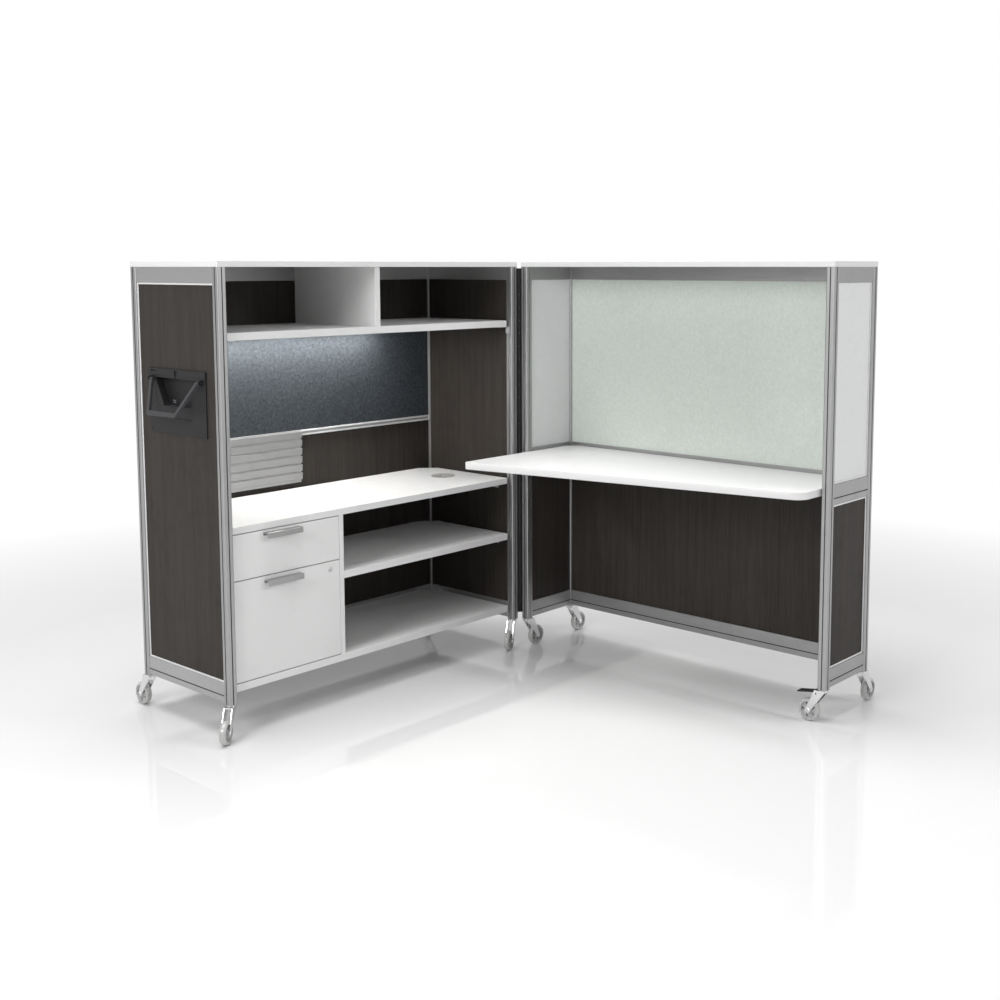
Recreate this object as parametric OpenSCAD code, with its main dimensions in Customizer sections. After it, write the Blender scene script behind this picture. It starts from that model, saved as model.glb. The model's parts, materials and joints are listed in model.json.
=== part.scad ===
// Folding mobile workstation: a storage unit and a desk unit, hinged at their front corners.
// Each unit is drawn from its hinge corner: x along its front, y into its depth, z up from the
// underside of its posts. in_storage() and in_desk() then stand it in the shared frame, whose
// origin is on the floor at the middle of the whole object's outline.

/* [Units] */
// Width of each unit, over its posts
unit_w = 1314; // [1100:1:1600]
// Depth of the storage unit, over its posts
storage_d = 483; // [440:1:600]
// Depth of the desk unit, over its posts
desk_d = 287; // [270:1:380]
// Height of the posts
frame_h = 1350; // [1320:10:1600]
// Distance from the fold axis to each unit's front plane and hinge-side plane
corner_gap = 5; // [4.5:0.5:8]

/* [Frame] */
// Width of a square post
post_w = 30; // [28:1:40]
// Corner radius of a post
post_corner_r = 4; // [1:0.5:6]
// Width of the fine groove along posts and rails
groove_w = 2.5; // [1:0.5:5]
// Depth of the fine groove in a post
post_groove_cut = 4; // [1:0.5:5]
// Depth of the fine groove in a rail
rail_groove_cut = 2; // [0.5:0.5:2]
// Thickness of a rail
rail_t = 26; // [22:1:28]
// Wall around a rail's hollow core
rail_wall = 3; // [2:0.5:4]
// Height of the top rails
top_rail_h = 49; // [35:1:70]
// Height of the bottom rails
bottom_rail_h = 61; // [40:1:80]
// Height of the bottom rails above the ends of the posts
bottom_rail_z = 6; // [2:1:20]
// Height of the desk unit's middle rails
mid_rail_h = 66; // [45:1:80]
// Thickness of a wall panel
panel_t = 14; // [10:1:16]
// Depth that a wall panel enters its slots
panel_seat = 6; // [4:0.5:6]
// Thickness of the cover on top of each unit
cover_t = 18; // [12:1:30]

/* [Storage levels] */
// Top of the bottom shelf above the ends of the posts
bottom_shelf_top = 54; // [50:1:60]
// Top of the middle shelf
mid_shelf_top = 336; // [250:1:420]
// Top of the worktop
worktop_top = 551; // [530:1:570]
// Distance from the top of the posts down to the top of the upper shelf
upper_shelf_drop = 200; // [150:1:270]
// Underside of the mullion across the back
mullion_z = 740; // [700:1:780]
// Height of the mullion
mullion_h = 20; // [14:1:30]
// Thickness of the shelves
shelf_t = 24; // [18:1:30]
// Thickness of the worktop
worktop_t = 22; // [18:1:30]
// Distance from the front plane to the front edges of shelves and worktop
shelf_setback = 19; // [10:1:30]
// Distance from a post to the end of a shelf
shelf_end_gap = 8; // [4:1:16]
// Thickness of the upright divider on the upper shelf
divider_t = 22; // [16:1:30]
// Distance from the hinge corner to the divider
divider_x = 661; // [400:1:900]
// Length of the clipped back corners of the worktop and the lower shelves
board_clip = 55; // [20:1:90]
// Length of the light under the upper shelf
light_l = 900; // [300:10:900]
// Distance from the hinge corner to the light
light_x = 310; // [200:10:500]

/* [Tool rail] */
// Number of slats in the tool rail
slats = 6; // [4:1:6]
// Spacing of the slats
slat_pitch = 30; // [26:1:32]
// Length of the tool rail
tool_rail_l = 610; // [300:10:900]
// Thickness of the tool rail
tool_rail_t = 13; // [10:1:16]
// Height of the gap between two slats
slat_gap = 4; // [2:0.5:8]

/* [Grommet] */
// Radius of the grommet's hole through the worktop
grommet_r = 40; // [30:1:45]
// Distance from the hinge corner to the grommet
grommet_x = 161; // [120:1:300]
// Distance from the front plane to the grommet
grommet_y = 242; // [150:1:300]

/* [Pedestal] */
// Width of the drawer pedestal
pedestal_w = 438; // [400:1:500]
// Thickness of the pedestal's boards
board_t = 18; // [14:1:22]
// Thickness of the drawer fronts
front_t = 18; // [14:1:22]
// Height of the gap between the two drawer fronts above the ends of the posts
front_split_z = 380; // [370:1:390]
// Gap around the drawer fronts
front_gap = 1.5; // [1:0.5:3]
// Height of the box drawer's tray
box_tray_h = 100; // [60:1:110]
// Height of the file drawer's tray
file_tray_h = 245; // [150:1:260]
// Wall of the drawer trays
tray_wall = 12; // [8:1:16]
// Floor of the drawer trays
tray_floor = 6; // [4:1:10]
// Length of the drawer pulls
pull_l = 138; // [80:1:200]
// Height of the lip of a drawer pull
pull_h = 18; // [12:1:24]
// How far a drawer pull stands out
pull_out = 25; // [18:1:28]
// Radius of the drawer lock
lock_r = 8; // [6:0.5:10]

/* [Desk] */
// Top of the desk above the ends of the posts
desk_top = 653; // [640:1:660]
// Thickness of the desk
desk_t = 24; // [18:1:30]
// How far the desk overhangs in front of the unit at its hinge end
desk_reach_near = 352; // [250:1:380]
// How far the desk overhangs in front of the unit at its far end
desk_reach_far = 107; // [90:1:250]
// Distance from a post to the end of the desk
desk_end_gap = 4; // [3:0.5:8]
// Radius of the desk's front corner at the hinge end
desk_near_r = 22; // [10:1:40]
// Radius of the desk's front corner at the far end
desk_far_r = 50; // [30:1:80]
// Length of the clipped back corners of the desk
desk_clip = 40; // [15:1:70]
// Underside of the desk unit's middle rails above the ends of the posts
mid_rail_z = 599; // [590:1:605]

/* [Pull handle] */
// Width of the handle tray
tray_plate_w = 315; // [280:1:340]
// Height of the handle tray
tray_plate_h = 205; // [190:1:240]
// Underside of the handle tray above the ends of the posts
tray_plate_z = 825; // [760:1:880]
// Distance between the bail's pivots
bail_w = 257; // [220:1:265]
// Length of the bail's lower bar
bail_bar_w = 150; // [120:1:180]
// Distance from the bail's axis to the middle of its lower bar
bail_l = 113; // [90:1:120]
// Width of the bail's bars
bail_bar = 14; // [10:1:16]
// Thickness of the bail's bars
bail_t = 9; // [6:1:10]
// Angle that the bail hangs out from the wall
bail_angle = 25; // [10:1:60]

/* [Casters] */
// Height of a caster, from the floor to the end of the post
caster_h = 112; // [105:1:130]
// Radius of a caster wheel
wheel_r = 37.5; // [30:0.5:40]
// Width of a caster wheel
wheel_w = 21; // [16:1:22]
// Distance from a caster's stem to its axle
trail = 48; // [30:1:50]
// Radius of a caster's stem
stem_r = 6; // [4:0.5:6]
// Length of a caster's stem inside the post
stem_l = 45; // [30:1:80]

/* [Hidden] */

// Overrun of every cut past the face that it opens
cut = 1;
// Radial clearance of everything that turns in a bore
play = 0.05;
// Clearance of a panel or a sleeve in its slot, on each side
fit = 0.2;
// Clearance between faces that slide or turn past each other
slide_gap = 0.4;
// Facets of a drawn circle
$fn = 48;
// Points along a rounded corner of a board
arc_points = 8;

// Places that both units share
post_c = post_w / 2;
rail_inset = (post_w - rail_t) / 2;
slot_w = panel_t + 2 * fit;
slot_cut = panel_seat + fit;
core_r = stem_r + play;
inner_w = unit_w - 2 * post_w;
groove_share = 1 / 3;
top_rail_z = frame_h - top_rail_h;
bottom_rail_top = bottom_rail_z + bottom_rail_h;
mid_rail_top = mid_rail_z + mid_rail_h;
rail_face = post_w - rail_inset;

// Storage boards
shelf_x = post_w + shelf_end_gap;
shelf_l = unit_w - 2 * shelf_x;
shelf_back = storage_d - rail_face - 2 * fit;
bottom_shelf_z = bottom_shelf_top - shelf_t;
mid_shelf_z = mid_shelf_top - shelf_t;
worktop_z = worktop_top - worktop_t;
upper_shelf_top = frame_h - upper_shelf_drop;
upper_shelf_z = upper_shelf_top - shelf_t;
mullion_top = mullion_z + mullion_h;
back_board_top = upper_shelf_top - shelf_t / 2;

// Light under the upper shelf
light_w = 42;
light_h = 14;
light_back_gap = 40;
light_end_gap = 70;
light_len = min(light_l, unit_w - 2 * post_w - 2 * light_end_gap);
light_start = min(light_x, unit_w - post_w - light_end_gap - light_len);
light_y = shelf_back - light_back_gap - light_w;
lens_h = 3;
lens_margin = 5;

// Tool rail, hung on the back over the mullion
tool_rail_back_t = 4;
tool_rail_h = slats * slat_pitch + slat_pitch / 3;
tool_rail_z = mullion_top - tool_rail_h;
tool_rail_x = unit_w - post_w - tool_rail_l - fit;
tool_rail_y = storage_d - rail_face - tool_rail_t;

// Grommet
grommet_wall = 2;
grommet_flange = 6;
grommet_flange_t = 2;
grommet_cap_t = 5;
grommet_ledge = 3;
grommet_slot_w = 14;
grommet_slot_l = 24;

// Shelf brackets
bracket_t = 2;
bracket_front_w = 20;
bracket_back_w = 7;
bracket_drop = 24;
bracket_l = 42;
bracket_reach = 32;
cleat_l = 320;

// Pedestal, from its right side by the shelves to its left side by the post
pedestal_end = unit_w - shelf_x;
pedestal_x = pedestal_end - pedestal_w;
pedestal_z = bottom_shelf_top;
pedestal_h = worktop_z - pedestal_z;
pedestal_back_gap = 8;
pedestal_back = shelf_back - pedestal_back_gap;
case_in_x = pedestal_x + board_t;
case_in_w = pedestal_w - 2 * board_t;
front_back_gap = 1;
case_front = shelf_setback + front_t + front_back_gap;
stretcher_h = 20;
stretcher_drop = 14;
stretcher_z = front_split_z - stretcher_drop;

// Drawer runners
runner_space = 13;
runner_wall = 1.6;
runner_h = 34;
runner_end_gap = 2;
runner_back_gap = 6;
runner_l = pedestal_back - board_t - case_front - runner_end_gap - runner_back_gap;
runner_y = case_front + runner_end_gap;

// Drawers; their fronts cover the edge of the side board at the post
front_w = case_in_w + board_t - 2 * front_gap;
front_x = case_in_x + front_gap;
file_front_z = pedestal_z + 2 * front_gap;
file_front_h = front_split_z - front_gap - file_front_z;
box_front_z = front_split_z + front_gap;
box_front_h = worktop_z - 2 * front_gap - box_front_z;
tray_x = case_in_x + runner_space;
tray_w = case_in_w - 2 * runner_space;
tray_y = shelf_setback + front_t;
tray_l = runner_l + runner_end_gap;
box_tray_lift = 16;
file_tray_lift = 12;
box_tray_z = front_split_z + box_tray_lift;
file_tray_z = pedestal_z + board_t + file_tray_lift;
box_runner_z = box_tray_z + box_tray_h / 2;
file_runner_z = file_tray_z + file_tray_h / 2;
pull_t = 3;
pull_flange = 11;
pull_shift = 25;
box_pull_drop = 6;
file_pull_drop = 11;
pull_x = front_x + (front_w - pull_l) / 2 + pull_shift;
box_pull_z = box_front_z + box_front_h - box_pull_drop;
file_pull_z = file_front_z + file_front_h - file_pull_drop;
lock_inset = 41;
lock_drop = 26;
lock_x = case_in_x + lock_inset;
lock_z = file_front_z + file_front_h - lock_drop;
lock_proud = 1.5;
lock_cam_t = 3;
lock_cam_l = 22;
lock_cam_w = 10;
lock_end = case_front + board_t + front_back_gap + lock_cam_t;
key_w = 1.6;
key_l = 9;
key_cut = 2;

// Handle tray on the storage unit's left side, drawn with y along the depth and x outwards
tray_plate_t = 4;
tray_mid_y = storage_d / 2;
panel_face_x = unit_w - post_c + panel_t / 2;
plate_face_x = panel_face_x + tray_plate_t;
bowl_top_w = 240;
bowl_low_w = 150;
bowl_h = 88;
bowl_cut = 26;
bowl_wall = 3;
bail_drop = 33;
bail_axis_z = tray_plate_z + tray_plate_h - bail_drop;
bail_axis_out = 8;
bail_axis_x = plate_face_x + bail_axis_out;
bail_pin_r = 3;
bail_pin_l = 8;
ear_t = 8;
ear_r = 8;
bowl_rise = 4;
bowl_top_z = bail_axis_z + bowl_rise;
ledge_h = 20;
ledge_t = 2;
notch_w = 20;
notch_h = 26;
latch_slot_w = 27;
latch_slot_h = 5;
slit_w = 158;
slit_h = 4;
slit_rise = 50;
drain_w = 20;
drain_h = 12;

// Hinge along the fold axis
knuckles = 27;
leaf_t = 1.8;
leaf_w = 26;
leaf_gap = 0.3;
knuckle_clear = 0.5;
knuckle_r = corner_gap - leaf_t - knuckle_clear;
hinge_pin_r = 1.2;
leaf_low = 25;
leaf_top_gap = 5;
leaf_h = frame_h - leaf_low - leaf_top_gap;
knuckle_l = leaf_h / knuckles;
knuckle_gap = 0.6;

// Desk
desk_x = post_w + desk_end_gap;
desk_l = unit_w - 2 * desk_x;
desk_back = desk_d - rail_face - desk_end_gap;
desk_z = desk_top - desk_t;
arm_w = 28;
arm_h = 24;
arm_tip_h = 8;
arm_inset_share = 0.13;
arm_reach_share = 0.45;
cleat_t = 3;
cleat_h = 22;
cleat_w = 30;

// Casters
crown_r = post_c;
crown_t = 5;
crown_gap = 0.3;
fork_t = 2.5;
fork_gap = 1.2;
fork_half = wheel_w / 2 + fork_gap + fork_t;
fork_top = caster_h - crown_gap - crown_t;
axle_r = 4;
axle_end = 0.8;
boss_turn = 24;
boss_r = 9;
fork_back_share = 0.8;
fork_front_share = 0.55;
hub_r = 12;
hub_proud = 0.5;
hub_w = wheel_w + 2 * hub_proud;
tyre_round = 7;
pedal_past = 2;
pedal_bend_share = 0.72;
web_w = 10;
tyre_h = 9;
rim_r = wheel_r - tyre_h;
web_holes = 5;
web_hole_r = 5.5;
web_hole_ring_r = (hub_r + rim_r) / 2;
fork_back = crown_r * fork_back_share;
fork_front = trail * fork_front_share;
pedal_axis_x = 20;
pedal_drop = 9;
pedal_axis_z = fork_top - pedal_drop;
pedal_pin_r = 2.5;
pedal_t = 4;
pedal_w = 2 * (wheel_w / 2 + fork_gap - slide_gap);
pedal_pad_w = 2 * crown_r - 2 * slide_gap;
pedal_l = trail + wheel_r + pedal_past;

// Each caster: which unit it stands under, its post and the way that it trails, in degrees
STORAGE = 0;
DESK = 1;
near_x = post_c;
far_x = unit_w - post_c;
front_y = post_c;
CASTERS = [
    [STORAGE, far_x, front_y, 215],
    [STORAGE, near_x, front_y, 205],
    [STORAGE, far_x, storage_d - post_c, 90],
    [STORAGE, near_x, storage_d - post_c, 90],
    [DESK, near_x, front_y, 0],
    [DESK, far_x, front_y, 90],
    [DESK, near_x, desk_d - post_c, 0],
    [DESK, far_x, desk_d - post_c, 0]
];
BRAKED = 5;

// Outline of the whole object on the floor, measured from the fold axis
bail_reach = bail_axis_out + (bail_l + bail_bar / 2) * sin(bail_angle) + bail_t / 2 * cos(bail_angle);
outline_left = -(corner_gap + plate_face_x + bail_reach);
outline_right = corner_gap + desk_d - post_c + trail + wheel_r;
outline_front = -(corner_gap + unit_w);
outline_back = corner_gap + storage_d - post_c + trail + wheel_r;
fold_x = -(outline_left + outline_right) / 2;
fold_y = -(outline_front + outline_back) / 2;

// Colours
ALUMINIUM = [0.68, 0.69, 0.70];
DARK_LAMINATE = [0.24, 0.21, 0.19];
WHITE_BOARD = [0.92, 0.92, 0.91];
SLATE = [0.22, 0.25, 0.28];
BLACK = [0.08, 0.08, 0.08];
STEEL = [0.75, 0.75, 0.76];
TYRE = [0.78, 0.78, 0.76];
GLASS = [0.80, 0.86, 0.82];

module in_storage() {
    translate([fold_x - corner_gap, fold_y + corner_gap, caster_h]) mirror([1, 0, 0]) children();
}

module in_desk() {
    translate([fold_x + corner_gap, fold_y - corner_gap, caster_h]) rotate(-90) children();
}

module at_fold_axis() {
    translate([fold_x, fold_y, caster_h]) children();
}

function unit_vector(v) = v / norm(v);

// Points of an arc of radius r that rounds corner b between a and c of an anticlockwise outline
function corner_arc(a, b, c, r) =
    let (
        to_a = unit_vector(a - b),
        to_c = unit_vector(c - b),
        half = acos(to_a * to_c) / 2,
        centre = b + unit_vector(to_a + to_c) * r / sin(half),
        start = b + to_a * r / tan(half) - centre,
        first = atan2(start[1], start[0]),
        turn = 180 - 2 * half
    )
    [for (i = [0:arc_points]) let (at = first + turn * i / arc_points) centre + r * [cos(at), sin(at)]];

// Outline with each corner rounded to its radius; a radius of 0 leaves the corner sharp
function rounded_outline(points, radii) =
    let (n = len(points))
    [for (i = [0:n - 1]) let (before = points[(i + n - 1) % n], after = points[(i + 1) % n]) each
        (radii[i] > 0 ? corner_arc(before, points[i], after, radii[i]) : [points[i]])];

module rounded_square(w, r) {
    square([w, w - 2 * r], center = true);
    square([w - 2 * r, w], center = true);
    for (x = [-1, 1], y = [-1, 1]) translate([x, y] * (w / 2 - r)) circle(r);
}

// Post centred on the axis; faces with a panel slot are numbered anticlockwise from the back face
module post(slots) {
    linear_extrude(frame_h) difference() {
        rounded_square(post_w, post_corner_r);
        circle(core_r);
        for (face = [0:3])
            if (len(search(face, slots)) > 0) {
                rotate(90 * face) translate([0, post_c]) square([slot_w, 2 * slot_cut], center = true);
            } else {
                rotate(90 * face) translate([0, post_c])
                    square([groove_w, 2 * post_groove_cut], center = true);
            }
    }
}

// Four posts of a unit of depth d; the front posts take a side panel, the back ones a back panel too
module posts(d) {
    translate([near_x, front_y]) post([0]);
    translate([far_x, front_y]) post([0]);
    translate([near_x, d - post_c]) post([2, 3]);
    translate([far_x, d - post_c]) post([2, 1]);
}

// Rail along +x, centred on y, standing on z = 0, with a panel slot above or below it
module rail(l, h, above, below, grooved) {
    core_low = below ? slot_cut + rail_wall : rail_wall;
    core_top = above ? slot_cut + rail_wall : rail_wall;
    core_h = h - core_low - core_top;
    difference() {
        translate([0, -rail_t / 2, 0]) cube([l, rail_t, h]);
        if (core_h > rail_wall)
            translate([-cut, rail_wall - rail_t / 2, core_low])
                cube([l + 2 * cut, rail_t - 2 * rail_wall, core_h]);
        if (above)
            translate([-cut, -slot_w / 2, h - slot_cut]) cube([l + 2 * cut, slot_w, slot_cut + cut]);
        if (below)
            translate([-cut, -slot_w / 2, -cut]) cube([l + 2 * cut, slot_w, slot_cut + cut]);
        if (grooved)
            for (side = [-1, 1])
                translate([-cut, side * rail_t / 2 - rail_groove_cut, h * groove_share - groove_w / 2])
                    cube([l + 2 * cut, 2 * rail_groove_cut, groove_w]);
    }
}

// The same rail on both sides and the back of a unit of depth d
module rail_ring(d, z, h, above, below, grooved) {
    for (x = [near_x, far_x])
        translate([x, post_w, z]) rotate(90) rail(d - 2 * post_w, h, above, below, grooved);
    translate([post_w, d - post_c, z]) rail(inner_w, h, above, below, grooved);
}

// Wall panel on one side of a unit of depth d, between two heights
module side_panel(x, d, low, top) {
    translate([x - panel_t / 2, post_w - panel_seat, low - panel_seat])
        cube([panel_t, d - 2 * (post_w - panel_seat), top - low + 2 * panel_seat]);
}

module back_panel(d, low, top) {
    translate([post_w - panel_seat, d - post_c - panel_t / 2, low - panel_seat])
        cube([inner_w + 2 * panel_seat, panel_t, top - low + 2 * panel_seat]);
}

module cover(d) {
    translate([0, 0, frame_h]) cube([unit_w, d, cover_t]);
}

// Board of a storage shelf between two places along the front
module shelf_board(x0, x1, z, t) {
    translate([x0, shelf_setback, z]) cube([x1 - x0, shelf_back - shelf_setback, t]);
}

module storage_posts() {
    color(ALUMINIUM) in_storage() posts(storage_d);
}

module storage_rails() {
    color(ALUMINIUM) in_storage() {
        rail_ring(storage_d, top_rail_z, top_rail_h, false, true, false);
        rail_ring(storage_d, bottom_rail_z, bottom_rail_h, true, false, true);
    }
}

module storage_mullion() {
    color(ALUMINIUM) in_storage()
        translate([post_w, storage_d - post_c, mullion_z]) rail(inner_w, mullion_h, true, true, false);
}

module bowl_outline(grow) {
    polygon([
        [-bowl_low_w / 2 - grow, bowl_top_z - bowl_h - grow],
        [bowl_low_w / 2 + grow, bowl_top_z - bowl_h - grow],
        [bowl_top_w / 2 + grow, bowl_top_z + grow],
        [-bowl_top_w / 2 - grow, bowl_top_z + grow]
    ]);
}

// Extrudes an outline drawn in depth and height outwards along x, from one place to another
module outwards(x0, x1) {
    translate([x0, tray_mid_y, 0]) rotate([90, 0, 90]) linear_extrude(x1 - x0) children();
}

module storage_left_panel() {
    color(DARK_LAMINATE) in_storage() difference() {
        side_panel(far_x, storage_d, bottom_rail_top, top_rail_z);
        outwards(panel_face_x - panel_t - cut, panel_face_x + cut) bowl_outline(bowl_wall + fit);
    }
}

module storage_back_board() {
    color(SLATE) in_storage() back_panel(storage_d, mullion_top, back_board_top - panel_seat);
}

// Right side panel, the back panel under the mullion and the one that stands on the back board
module storage_wall_panels() {
    color(DARK_LAMINATE) in_storage() {
        side_panel(near_x, storage_d, bottom_rail_top, top_rail_z);
        back_panel(storage_d, bottom_rail_top, mullion_z);
        back_panel(storage_d, back_board_top + panel_seat, top_rail_z);
    }
}

module storage_cover() {
    color(WHITE_BOARD) in_storage() cover(storage_d);
}

module upper_shelf() {
    color(WHITE_BOARD) in_storage() shelf_board(shelf_x, shelf_x + shelf_l, upper_shelf_z, shelf_t);
}

module shelf_divider() {
    color(WHITE_BOARD) in_storage()
        shelf_board(divider_x, divider_x + divider_t, upper_shelf_top, frame_h - upper_shelf_top);
}

module light_housing() {
    color(ALUMINIUM) in_storage() translate([light_start, light_y, upper_shelf_z - light_h]) difference() {
        cube([light_len, light_w, light_h]);
        translate([lens_margin, lens_margin, -cut])
            cube([light_len - 2 * lens_margin, light_w - 2 * lens_margin, lens_h + cut]);
    }
}

module light_lens() {
    lens_in = lens_margin + fit;
    color([1, 0.98, 0.94]) in_storage()
        translate([light_start + lens_in, light_y + lens_in, upper_shelf_z - light_h])
            cube([light_len - 2 * lens_in, light_w - 2 * lens_in, lens_h]);
}

// Outline of a board that reaches to x1, clipped at its back corner by the hinge, and at the other if asked
function board_outline(x1, both) = concat(
    [[shelf_x, shelf_setback], [x1, shelf_setback]],
    both ? [[x1, shelf_back - board_clip], [x1 - board_clip, shelf_back]] : [[x1, shelf_back]],
    [[shelf_x + board_clip, shelf_back], [shelf_x, shelf_back - board_clip]]
);

module worktop() {
    color(WHITE_BOARD) in_storage() translate([0, 0, worktop_z]) difference() {
        linear_extrude(worktop_t) polygon(board_outline(shelf_x + shelf_l, true));
        translate([grommet_x, grommet_y, -cut]) cylinder(h = worktop_t + 2 * cut, r = grommet_r);
    }
}

// Sleeve with a flange on the worktop and a ledge that carries the cap
module grommet_sleeve() {
    outer_r = grommet_r - fit;
    inner_r = outer_r - grommet_wall;
    color(STEEL) in_storage() translate([grommet_x, grommet_y, worktop_z]) difference() {
        union() {
            cylinder(h = worktop_t, r = outer_r);
            translate([0, 0, worktop_t]) cylinder(h = grommet_flange_t, r = grommet_r + grommet_flange);
        }
        translate([0, 0, worktop_t + grommet_flange_t - grommet_cap_t])
            cylinder(h = grommet_cap_t + cut, r = inner_r);
        translate([0, 0, -cut]) cylinder(h = worktop_t + 2 * cut, r = inner_r - grommet_ledge);
    }
}

module grommet_cap() {
    cap_r = grommet_r - fit - grommet_wall - play;
    color(STEEL) in_storage()
        translate([grommet_x, grommet_y, worktop_top + grommet_flange_t - grommet_cap_t + slide_gap])
            difference() {
                cylinder(h = grommet_cap_t, r = cap_r);
                translate([cap_r - grommet_slot_l, -grommet_slot_w / 2, -cut])
                    cube([grommet_slot_l + cut, grommet_slot_w, grommet_cap_t + 2 * cut]);
                translate([cap_r - grommet_slot_l, 0, -cut])
                    cylinder(h = grommet_cap_t + 2 * cut, r = grommet_slot_w / 2);
            }
}

// Slats that lean out at the top, each with an undercut for a hook behind it
module tool_rail() {
    lip = slat_pitch - slat_gap;
    profile = concat(
        [[tool_rail_t, 0], [tool_rail_t, tool_rail_h], [tool_rail_t - tool_rail_back_t, tool_rail_h]],
        [for (i = [slats - 1:-1:0]) let (z = tool_rail_h - (slats - i) * slat_pitch) each [
            [tool_rail_t - tool_rail_back_t, z + lip],
            [0, z + lip],
            [slat_gap / 2, z + slat_gap / 2],
            [tool_rail_t - tool_rail_back_t, z]
        ]],
        [[tool_rail_t - tool_rail_back_t, 0]]
    );
    color(ALUMINIUM) in_storage() translate([tool_rail_x, tool_rail_y, tool_rail_z])
        rotate([90, 0, 90]) linear_extrude(tool_rail_l) polygon(profile);
}

module lower_shelves() {
    color(WHITE_BOARD) in_storage() {
        translate([0, 0, bottom_shelf_z]) linear_extrude(shelf_t)
            polygon(board_outline(shelf_x + shelf_l, false));
        translate([0, 0, mid_shelf_z]) linear_extrude(shelf_t) polygon(board_outline(pedestal_x, false));
    }
}

// Angle bracket on a post's face x = 0, under a shelf whose underside is z = 0
module bracket(w) {
    translate([0, post_w - w, -bracket_drop]) cube([bracket_t, w, bracket_drop]);
    translate([0, post_w - bracket_back_w, -bracket_t])
        cube([bracket_l, bracket_back_w + bracket_reach, bracket_t]);
}

// Brackets at the front and at the back of one end of a shelf
module bracket_pair(front, back, z) {
    translate([0, front, z]) bracket(bracket_front_w);
    translate([0, back, z]) mirror([0, 1, 0]) bracket(bracket_back_w);
}

// Both ends of the storage unit, each with x from the inner faces of the posts inwards
module each_storage_end() {
    translate([post_w, 0, 0]) children();
    translate([unit_w - post_w, 0, 0]) mirror([1, 0, 0]) children();
}

// Angle along a wall x = 0, under a board whose underside is z = 0, up to a place along its depth
module cleat(end) {
    translate([0, end - cleat_l, -bracket_drop]) cube([bracket_t, cleat_l, bracket_drop]);
    translate([0, end - cleat_l, -bracket_t]) cube([bracket_l, cleat_l, bracket_t]);
}

module shelf_brackets() {
    cleat_end = shelf_back - board_clip;
    color(STEEL) in_storage() {
        each_storage_end() {
            bracket_pair(0, storage_d, upper_shelf_z);
            translate([rail_face - post_w, 0, bottom_shelf_z]) cleat(cleat_end);
        }
        for (z = [worktop_z, mid_shelf_z]) translate([near_x + panel_t / 2, 0, z]) cleat(cleat_end);
        translate([pedestal_x, 0, mid_shelf_z]) mirror([1, 0, 0]) cleat(cleat_end);
    }
}

module pedestal_sides() {
    color(WHITE_BOARD) in_storage() {
        translate([pedestal_x, shelf_setback, pedestal_z])
            cube([board_t, pedestal_back - shelf_setback, pedestal_h]);
        translate([pedestal_end - board_t, case_front, pedestal_z])
            cube([board_t, pedestal_back - case_front, pedestal_h]);
    }
}

// Floor and roof of the pedestal, and the stretcher between its drawers
module pedestal_decks() {
    l = pedestal_back - board_t - case_front;
    color(WHITE_BOARD) in_storage() {
        for (z = [pedestal_z, worktop_z - board_t])
            translate([case_in_x, case_front, z]) cube([case_in_w, l, board_t]);
        translate([case_in_x, case_front, stretcher_z]) cube([case_in_w, board_t, stretcher_h]);
    }
}

module pedestal_back_board() {
    color(WHITE_BOARD) in_storage()
        translate([case_in_x, pedestal_back - board_t, pedestal_z]) cube([case_in_w, board_t, pedestal_h]);
}

// Both sides of the pedestal's inside, each with x from the side board inwards
module each_case_side() {
    translate([case_in_x, 0, 0]) children();
    translate([case_in_x + case_in_w, 0, 0]) mirror([1, 0, 0]) children();
}

// Channel fixed to the case, open towards the tray
module fixed_runner(z) {
    cavity_h = runner_h - 2 * runner_wall;
    depth = runner_space - runner_wall - slide_gap;
    translate([0, runner_y, z - runner_h / 2]) difference() {
        cube([depth, runner_l, runner_h]);
        translate([runner_wall, -cut, runner_wall]) cube([depth, runner_l + 2 * cut, cavity_h]);
    }
}

// Member on the tray that slides inside the channel
module moving_runner(z) {
    h = runner_h - 2 * runner_wall - 2 * slide_gap;
    x0 = runner_wall + slide_gap;
    translate([x0, runner_y, z - h / 2]) cube([runner_space - x0, runner_l, h]);
}

module fixed_runners() {
    color(STEEL) in_storage() each_case_side() {
        fixed_runner(box_runner_z);
        fixed_runner(file_runner_z);
    }
}

module drawer_runners(z) {
    color(STEEL) in_storage() each_case_side() moving_runner(z);
}

module drawer_tray(z, h) {
    color(WHITE_BOARD) in_storage() translate([tray_x, tray_y, z]) difference() {
        cube([tray_w, tray_l, h]);
        translate([tray_wall, tray_wall, tray_floor])
            cube([tray_w - 2 * tray_wall, tray_l - 2 * tray_wall, h]);
    }
}

module box_drawer_front() {
    color(WHITE_BOARD) in_storage()
        translate([front_x, shelf_setback, box_front_z]) cube([front_w, front_t, box_front_h]);
}

module file_drawer_front() {
    color(WHITE_BOARD) in_storage() difference() {
        translate([front_x, shelf_setback, file_front_z]) cube([front_w, front_t, file_front_h]);
        translate([lock_x, shelf_setback - cut, lock_z]) rotate([-90, 0, 0])
            cylinder(h = front_t + 2 * cut, r = lock_r + play);
    }
}

// Folded pull: a flange on the drawer front, a roof over the fingers and a lip down in front
module drawer_pull(top_z) {
    profile = [
        [0, 0], [0, -pull_flange], [-pull_t, -pull_flange], [-pull_t, -pull_t],
        [pull_t - pull_out, -pull_t], [pull_t - pull_out, -pull_h], [-pull_out, -pull_h], [-pull_out, 0]
    ];
    color(ALUMINIUM) in_storage() translate([pull_x, shelf_setback, top_z])
        rotate([90, 0, 90]) linear_extrude(pull_l) polygon(profile);
}

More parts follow.
